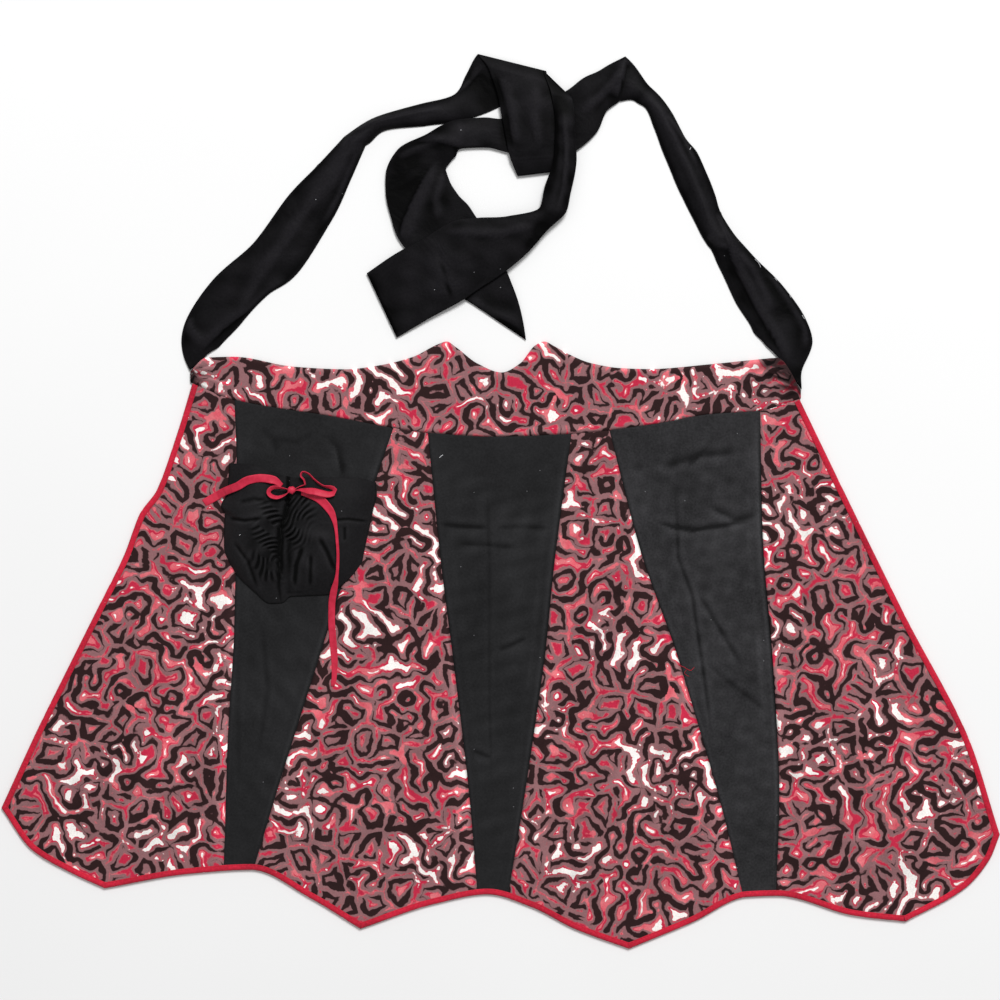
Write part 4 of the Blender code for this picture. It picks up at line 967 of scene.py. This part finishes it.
# The pocket's four edges, shares of its width from the left and of its height from the top
POCKET_LEFT = [(0.0, 0.0), (-0.005, 0.11), (-0.02, 0.22), (-0.055, 0.30), (-0.03, 0.36),
               (-0.035, 0.47), (-0.034, 0.60), (0.01, 0.72)]
POCKET_RIGHT = [(1.0, 0.135), (1.005, 0.22), (0.98, 0.33), (0.96, 0.43), (0.93, 0.57), (0.905, 0.70)]
POCKET_TOP = [(0.0, 0.0), (0.15, 0.005), (0.29, 0.055), (0.39, 0.09), (0.48, 0.10),
              (0.7, 0.10), (0.85, 0.10), (1.0, 0.135)]
POCKET_FOOT = [(0.01, 0.72), (0.07, 0.81), (0.18, 0.92), (0.28, 0.995), (0.36, 0.99), (0.42, 0.945),
               (0.54, 0.94), (0.66, 0.935), (0.76, 0.87), (0.84, 0.79), (0.905, 0.70)]

# Gathers that run out from the channel: side, down, turn towards the foot in degrees, length, height,
# with lengths as shares of the pocket's width and the height as a share of its puff
GATHERS = [
    (-1, 0.34, 10, 0.30, 0.16), (-1, 0.50, 30, 0.34, 0.16), (-1, 0.68, 45, 0.28, 0.12),
    (1, 0.36, -20, 0.26, 0.14), (1, 0.46, 15, 0.36, 0.16), (1, 0.62, 40, 0.30, 0.14),
]

# Ruffles and creases of the gathered cloth, in the same columns as the skirt's folds
POCKET_FOLDS = [
    ([(-218, -65), (-203, -67), (-188, -65)], -1.6, 1.6, 1.6),
    ([(-214, -82), (-201, -100), (-193, -124)], -1.6, 2, 2),
    ([(-136, -67), (-121, -66), (-104, -68)], -1.2, 1.4, 1.4),
    ([(-145, -79), (-138, -92), (-131, -109)], -1.5, 2, 2),
    ([(-157, -86), (-163, -103), (-165, -122)], -1.8, 2, 2),
    ([(-151, -92), (-152, -121)], -1.1, 1.6, 1.6),
    ([(-124, -71), (-124, -84)], -0.9, 1.3, 1.3),
    ([(-173, -125), (-157, -125)], -1.2, 1.3, 1.3),
    ([(-210, -53), (-196, -50), (-183, -52)], -1, 2, 2),
    ([(-167, -46), (-171, -60), (-176, -75), (-177, -92), (-174, -113)], -2.2, 2.5, 2.5),
]

# Hollows that the light hardly reaches, in the same columns as on the ties
POCKET_HOLLOWS = [
    ([(-165, -44), (-170, -62), (-176, -76), (-178, -92), (-172, -118)], 0.7, 14, 12),
    ([(-165, -44), (-170, -62), (-176, -76), (-178, -92), (-172, -118)], 0.7, 3, 3),
    ([(-200, -64), (-197, -84), (-192, -104), (-181, -120)], 0.6, 5, 5),
]


def pocket_surface(columns, rows):
    """A patch between the pocket's four edges, two lobes high beside its channel."""
    u, v = np.linspace(0, 1, columns), np.linspace(0, 1, rows)
    left, right = rounded(POCKET_LEFT, rows), rounded(POCKET_RIGHT, rows)
    top, foot = rounded(POCKET_TOP, columns), rounded(POCKET_FOOT, columns)
    uu, vv = u[None, :, None], v[:, None, None]
    plan = (1 - uu) * left[:, None] + uu * right[:, None] + (1 - vv) * top[None] + vv * foot[None]
    plan -= (1 - vv) * ((1 - uu) * top[0] + uu * top[-1]) + vv * ((1 - uu) * foot[0] + uu * foot[-1])
    share = np.where(u < POCKET_CHANNEL, u / POCKET_CHANNEL, (u - POCKET_CHANNEL) / (1 - POCKET_CHANNEL))
    across = np.abs(np.sin(np.pi * share)) ** LOBE_ROUND
    across += CHANNEL_HEIGHT * np.exp(-(((u - POCKET_CHANNEL) / CHANNEL_BREADTH) ** 2)) * (u > 0) * (u < 1)
    rise = POCKET_MOUTH + (1 - POCKET_MOUTH) * np.sin(np.clip(v / POCKET_FULLEST, 0, 1) * np.pi / 2)
    fall = np.cos(np.clip((v - POCKET_FULLEST) / (1 - POCKET_FULLEST), 0, 1) * np.pi / 2) ** FOOT_ROUND
    full = (rise * fall)[:, None] * across[None]
    height = full.copy()
    for side, down, turn, length, tall in GATHERS:
        lean = math.radians(turn)
        du = (plan[..., 0] - POCKET_CHANNEL) * side
        dv = (plan[..., 1] - down) * POCKET_HEIGHT / POCKET_WIDTH
        run, off = du * math.cos(lean) + dv * math.sin(lean), dv * math.cos(lean) - du * math.sin(lean)
        fade = np.exp(-((run / length - 0.5) ** 2) * GATHER_ENDS) * (du > 0)
        height += tall * fade * np.exp(-((off / GATHER_BREADTH) ** 2)) * full
    x, y = pocket_place(plan[..., 0], plan[..., 1])
    z = POCKET_REST + ridges(x, y, CREASES) + height * POCKET_PUFF
    return np.stack([x, y, z], axis=-1), plan, full


# The channel from its foot up: up from the waist seam's lowest point and across, in metres; and the size
# of the ruffles beside it
CHANNEL_UP = [-0.118, -0.092, -0.072, -0.046]
CHANNEL_ACROSS = [-0.172, -0.178, -0.175, -0.166]
RING_PITCH = 0.0046
SLANT_PITCH = 0.0040
RUFFLE_HEIGHT = 0.0011


def gathers(x, y):
    """Fine ruffles beside the channel: a cosine of the distance from its foot on its left, and of a
    slanting line on its right. Ripples shift and weaken them, and they die out away from the channel."""
    up = y - seam_y
    aside = x - np.interp(up, CHANNEL_UP, CHANNEL_ACROSS)
    rings = np.hypot(x + 0.172, up + 0.108) / RING_PITCH
    slants = (x * 0.82 - up * 0.57) / SLANT_PITCH
    left = aside < 0
    wave = np.cos(2 * math.pi * np.where(left, rings, slants) + 7 * ripple(x, y, 0.026, 70))
    near = np.exp(-((np.abs(aside) - 0.008) / 0.011) ** 2)
    near *= np.clip(0.9 + 3.2 * ripple(x, y, 0.014, 71), 0, 1.6)
    low = np.where(left, -0.120, -0.096)
    return RUFFLE_HEIGHT * wave * near * smooth((-0.045 - up) / 0.010) * smooth((up - low) / 0.016)


def pressed_by(grid, ribbon):
    """Keep the cloth under a ribbon that lies on it, with a soft slope up beside it."""
    middle = ribbon[::3, 4]
    apart = np.linalg.norm(grid[..., None, :2] - middle[:, :2], axis=-1)
    near = apart.argmin(-1)
    beside = np.clip(np.take_along_axis(apart, near[..., None], -1)[..., 0] - 0.0042, 0, None)
    return np.minimum(grid[..., 2], middle[near, 2] - 0.0012 + 1.6 * beside)


pocket_grid, pocket_plan, pocket_full = pocket_surface(184, 176)
firm = smooth(np.minimum(pocket_plan[..., 1] + 0.04, 1.0) / 0.25)
pocket_x, pocket_y = pocket_grid[..., 0], pocket_grid[..., 1]
ruffles = creased(pocket_x, pocket_y, POCKET_FOLDS) + gathers(pocket_x, pocket_y)
groove = np.exp(-(((pocket_plan[..., 0] - POCKET_CHANNEL) / 0.022) ** 2))
groove *= smooth((pocket_plan[..., 1] - 0.2) / 0.1)
pocket_grid[..., 2] += 0.0010 + ruffles * firm * smooth(pocket_full / 0.3)
pocket_grid[..., 2] -= 0.0006 * groove * smooth(pocket_full / 0.15)
for ribbon in (tail_left, tail_right):
    pocket_grid[..., 2] = pressed_by(pocket_grid, ribbon)
pocket_finish = plain_cotton("pocket_cotton", POCKET_BLACK, roughness=0.6, specular=0.06)
# Painted highlights on the pocket's ridges, painted shade in its hollows and in its listed hollows.
pocket_painted_shading = 0.8 * standing_out(pocket_grid, 4) + 0.4 * standing_out(pocket_grid, 10, 0.0015)
pocket_painted_shading -= creased(pocket_x, pocket_y, POCKET_HOLLOWS) * 1000
pocket = folded_cloth("heart_pocket", pocket_grid, FOLDED_CLOTH, pocket_finish, pocket_painted_shading)

# The bow: red satin ribbon tied over the gathers, with a small knot and two loops that lean outwards.
LOOP_HEIGHT = 0.004
KNOT_SIZE = (0.0060, 0.0056, 0.0042)

# Bow loops seen from above, from the knot and back: across and up, in ribbon widths
LOOP_LEFT = [(-0.3, 0.05), (-1.0, 0.14), (-1.72, 0.18), (-2.3, 0.05), (-2.55, -0.26), (-2.3, -0.55),
             (-1.72, -0.7), (-1.0, -0.55), (-0.3, -0.2)]
LOOP_RIGHT = [(0.27, 0.07), (1.03, 0.4), (1.72, 0.66), (1.6, 1.26), (1.2, 1.8), (1.4, 2.15), (1.9, 2.0),
              (2.7, 1.26), (3.84, 0.45), (4.83, 0.1), (5.1, -0.1), (4.7, -0.2), (3.84, -0.02),
              (2.5, 0.25), (1.2, 0.2), (0.27, 0.0)]

# How far each loop's free edge leans out, in metres, at shares of the way round it
LEAN_LEFT = [(0.0, 0.0026), (0.5, 0.0030), (0.8, 0.0032), (1.0, 0.0030)]
LEAN_RIGHT = [(0.0, 0.0010), (0.5, 0.0012), (0.58, 0.0030), (0.7, 0.0052), (1.0, 0.0050)]


def bow_loop(points, leans):
    """Ribbon carried round a loop: it stands on its edge, and leans outwards away from the knot."""
    line = rounded(np.array(points) * RIBBON_WIDTH, 90) + knot
    step = unit(np.gradient(line, axis=0))
    side = np.stack([-step[:, 1], step[:, 0]], axis=-1)
    centre = line.mean(0)
    side *= np.sign(((line - centre) * side).sum(1).mean())
    away = smooth(np.linalg.norm(line - knot, axis=1) / (2.5 * RIBBON_WIDTH))
    foot = evened(heights_of("ribbon_bow", line, 0.0016) - LOOP_HEIGHT)
    lean = eased(leans, np.linspace(0, 1, len(line)))
    share = np.linspace(0, 1, 8)
    grid = np.zeros((len(line), 8, 3))
    grid[..., :2] = line[:, None] + side[:, None] * (share * (lean * away)[:, None])[..., None]
    grid[..., 2] = foot[:, None] + 0.0002 + LOOP_HEIGHT * share * (1 - 0.35 * away[:, None] * share)
    return grid


left_loop = bow_loop(LOOP_LEFT, LEAN_LEFT)
right_loop = bow_loop(LOOP_RIGHT, LEAN_RIGHT)
round_x = np.linspace(0, 2 * math.pi, 33)[:-1]
round_z = np.linspace(-math.pi / 2, math.pi / 2, 19)
knot_z = heights_of("ribbon_bow", knot[None], 0.001)[0]
ring = np.cos(round_z)[:, None] * (1 + 0.07 * np.cos(5 * round_x + 1.0) + 0.04 * np.cos(9 * round_x))
ring_z = knot_z + (np.sin(round_z)[:, None] - 1) * KNOT_SIZE[2] / 2
knot_grid = np.dstack([knot[0] + ring * np.cos(round_x) * KNOT_SIZE[0] / 2,
                       knot[1] + ring * np.sin(round_x) * KNOT_SIZE[1] / 2,
                       np.broadcast_to(ring_z, ring.shape)])
parts, faces, count = [], [], 0
for grid, ring_shape in ((left_loop, False), (right_loop, False), (knot_grid, True)):
    faces.append(grid_faces(*grid.shape[:2], ring=ring_shape) + count)
    parts.append(grid.reshape(-1, 3))
    count += len(parts[-1])
bow = mesh_piece("ribbon_bow_satin", np.vstack(parts), np.vstack(faces), ribbon_finish)
thicken(bow, RIBBON_CLOTH, offset=0.0)
dress(bow, "ribbon_bow")

# Sewing and stray fibres: the red thread that holds the binding, one loose red thread end on the right
# gore's seam, and flecks of pale lint that lie on the black cloth.
STITCH_PITCH = 0.0026
STITCH_LENGTH = 0.0019
STITCH_THICK = 0.00036
STITCH_IN = 0.0039
STITCH_UP = 0.0034
STITCH_DIP = 0.0003
THREAD_RED = (0.50, 0.012, 0.030, 1.0)
LINT_PALE = (0.55, 0.55, 0.57, 1.0)

# Fibres: points across and up from the waist seam's lowest point; radius; the cloth below; in millimetres
LOOSE_THREAD = [
    ([(137, -181), (146, -184), (152, -187), (155, -184)], 0.16, "black_gore_right"),
    ([(149, -186), (147, -189), (151, -192)], 0.13, "black_gore_right"),
]
LINT = [
    ([(-49, -17), (-47.6, -15.6), (-46, -14.6)], 0.22, "black_gore_middle"),
    ([(151, 229), (152, 231)], 0.2, "tie_right"),
    ([(219, 127), (221, 124.5)], 0.2, "tie_right"),
    ([(241, 97), (243, 94)], 0.25, "tie_right"),
    ([(231, 113), (232, 111)], 0.16, "tie_right"),
    ([(203, 142), (206, 139), (208, 135)], 0.16, "tie_right"),
    ([(-208, -79), (-207, -78)], 0.2, "heart_pocket"),
]


def threads(name, middles, steps, radii, finish):
    """Short round threads: rings of six carried along each one, narrowed and capped at both ends."""
    side = unit(np.cross(steps, (0.0, 0.0, 1.0)))
    up = np.cross(side, steps)
    turn = np.linspace(0, 2 * math.pi, 7)[:-1]
    taper = np.r_[0.35, np.ones(middles.shape[1] - 2), 0.35]
    round_side = np.cos(turn)[:, None] * side[..., None, :] + np.sin(turn)[:, None] * up[..., None, :]
    points = middles[..., None, :] + round_side * (radii[:, None] * taper)[..., None, None]
    count, rings = middles.shape[:2]
    wall = grid_faces(rings, 6, ring=True)
    caps = np.array([[0, 1, 2, 3], [0, 3, 4, 5]])
    one = np.vstack([wall, caps, caps[:, ::-1] + (rings - 1) * 6])
    faces = (one[None] + np.arange(count)[:, None, None] * rings * 6).reshape(-1, 4)
    piece = mesh_piece(name, points, faces, finish)
    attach(piece, "root")
    return piece


sewn = outline + set_in * STITCH_IN
sewn_run = np.r_[0, np.cumsum(np.linalg.norm(np.diff(sewn, axis=0), axis=1))]
centres = np.arange(STITCH_PITCH, sewn_run[-1] - STITCH_PITCH, STITCH_PITCH)
at = centres[:, None] + np.array([-0.5, -0.3, 0.3, 0.5]) * STITCH_LENGTH
stitch_z = STITCH_UP - STITCH_DIP * np.array([1, 0, 0, 1])
stitches = np.stack([np.interp(at, sewn_run, sewn[:, 0]), np.interp(at, sewn_run, sewn[:, 1]),
                     np.broadcast_to(stitch_z, at.shape)], axis=-1)
steps = unit(np.gradient(stitches, axis=1) * (1, 1, 0.2))
thread_red = plain_cotton("red_thread", THREAD_RED, roughness=0.6)
threads("binding_stitches", stitches, steps, np.full(len(at), STITCH_THICK / 2), thread_red)

surfaces.update(tie_right=tie_right, heart_pocket=pocket_grid)
thread_pale = plain_cotton("pale_lint", LINT_PALE)
for name, rows, finish, slot in (("loose_thread", LOOSE_THREAD, thread_red, "red_binding"),
                                 ("lint", LINT, thread_pale, "black_cotton")):
    fibres = np.zeros((len(rows), 12, 3))
    for fibre, (points, radius, cloth) in zip(fibres, rows):
        fibre[:, :2] = rounded(points, 12) * 0.001 + (0.0, seam_y)
        corners = surfaces[cloth].reshape(-1, 3)
        apart = np.linalg.norm(fibre[:, None, :2] - corners[None, :, :2], axis=-1)
        fibre[:, 2] = np.where(apart < apart.min(1, keepdims=True) + 0.0008, corners[:, 2], 0.0).max(1)
        fibre[:, 2] += radius * 0.001
    radii = np.array([row[1] for row in rows]) * 0.001
    threads(name, fibres, unit(np.gradient(fibres, axis=1)), radii, finish)
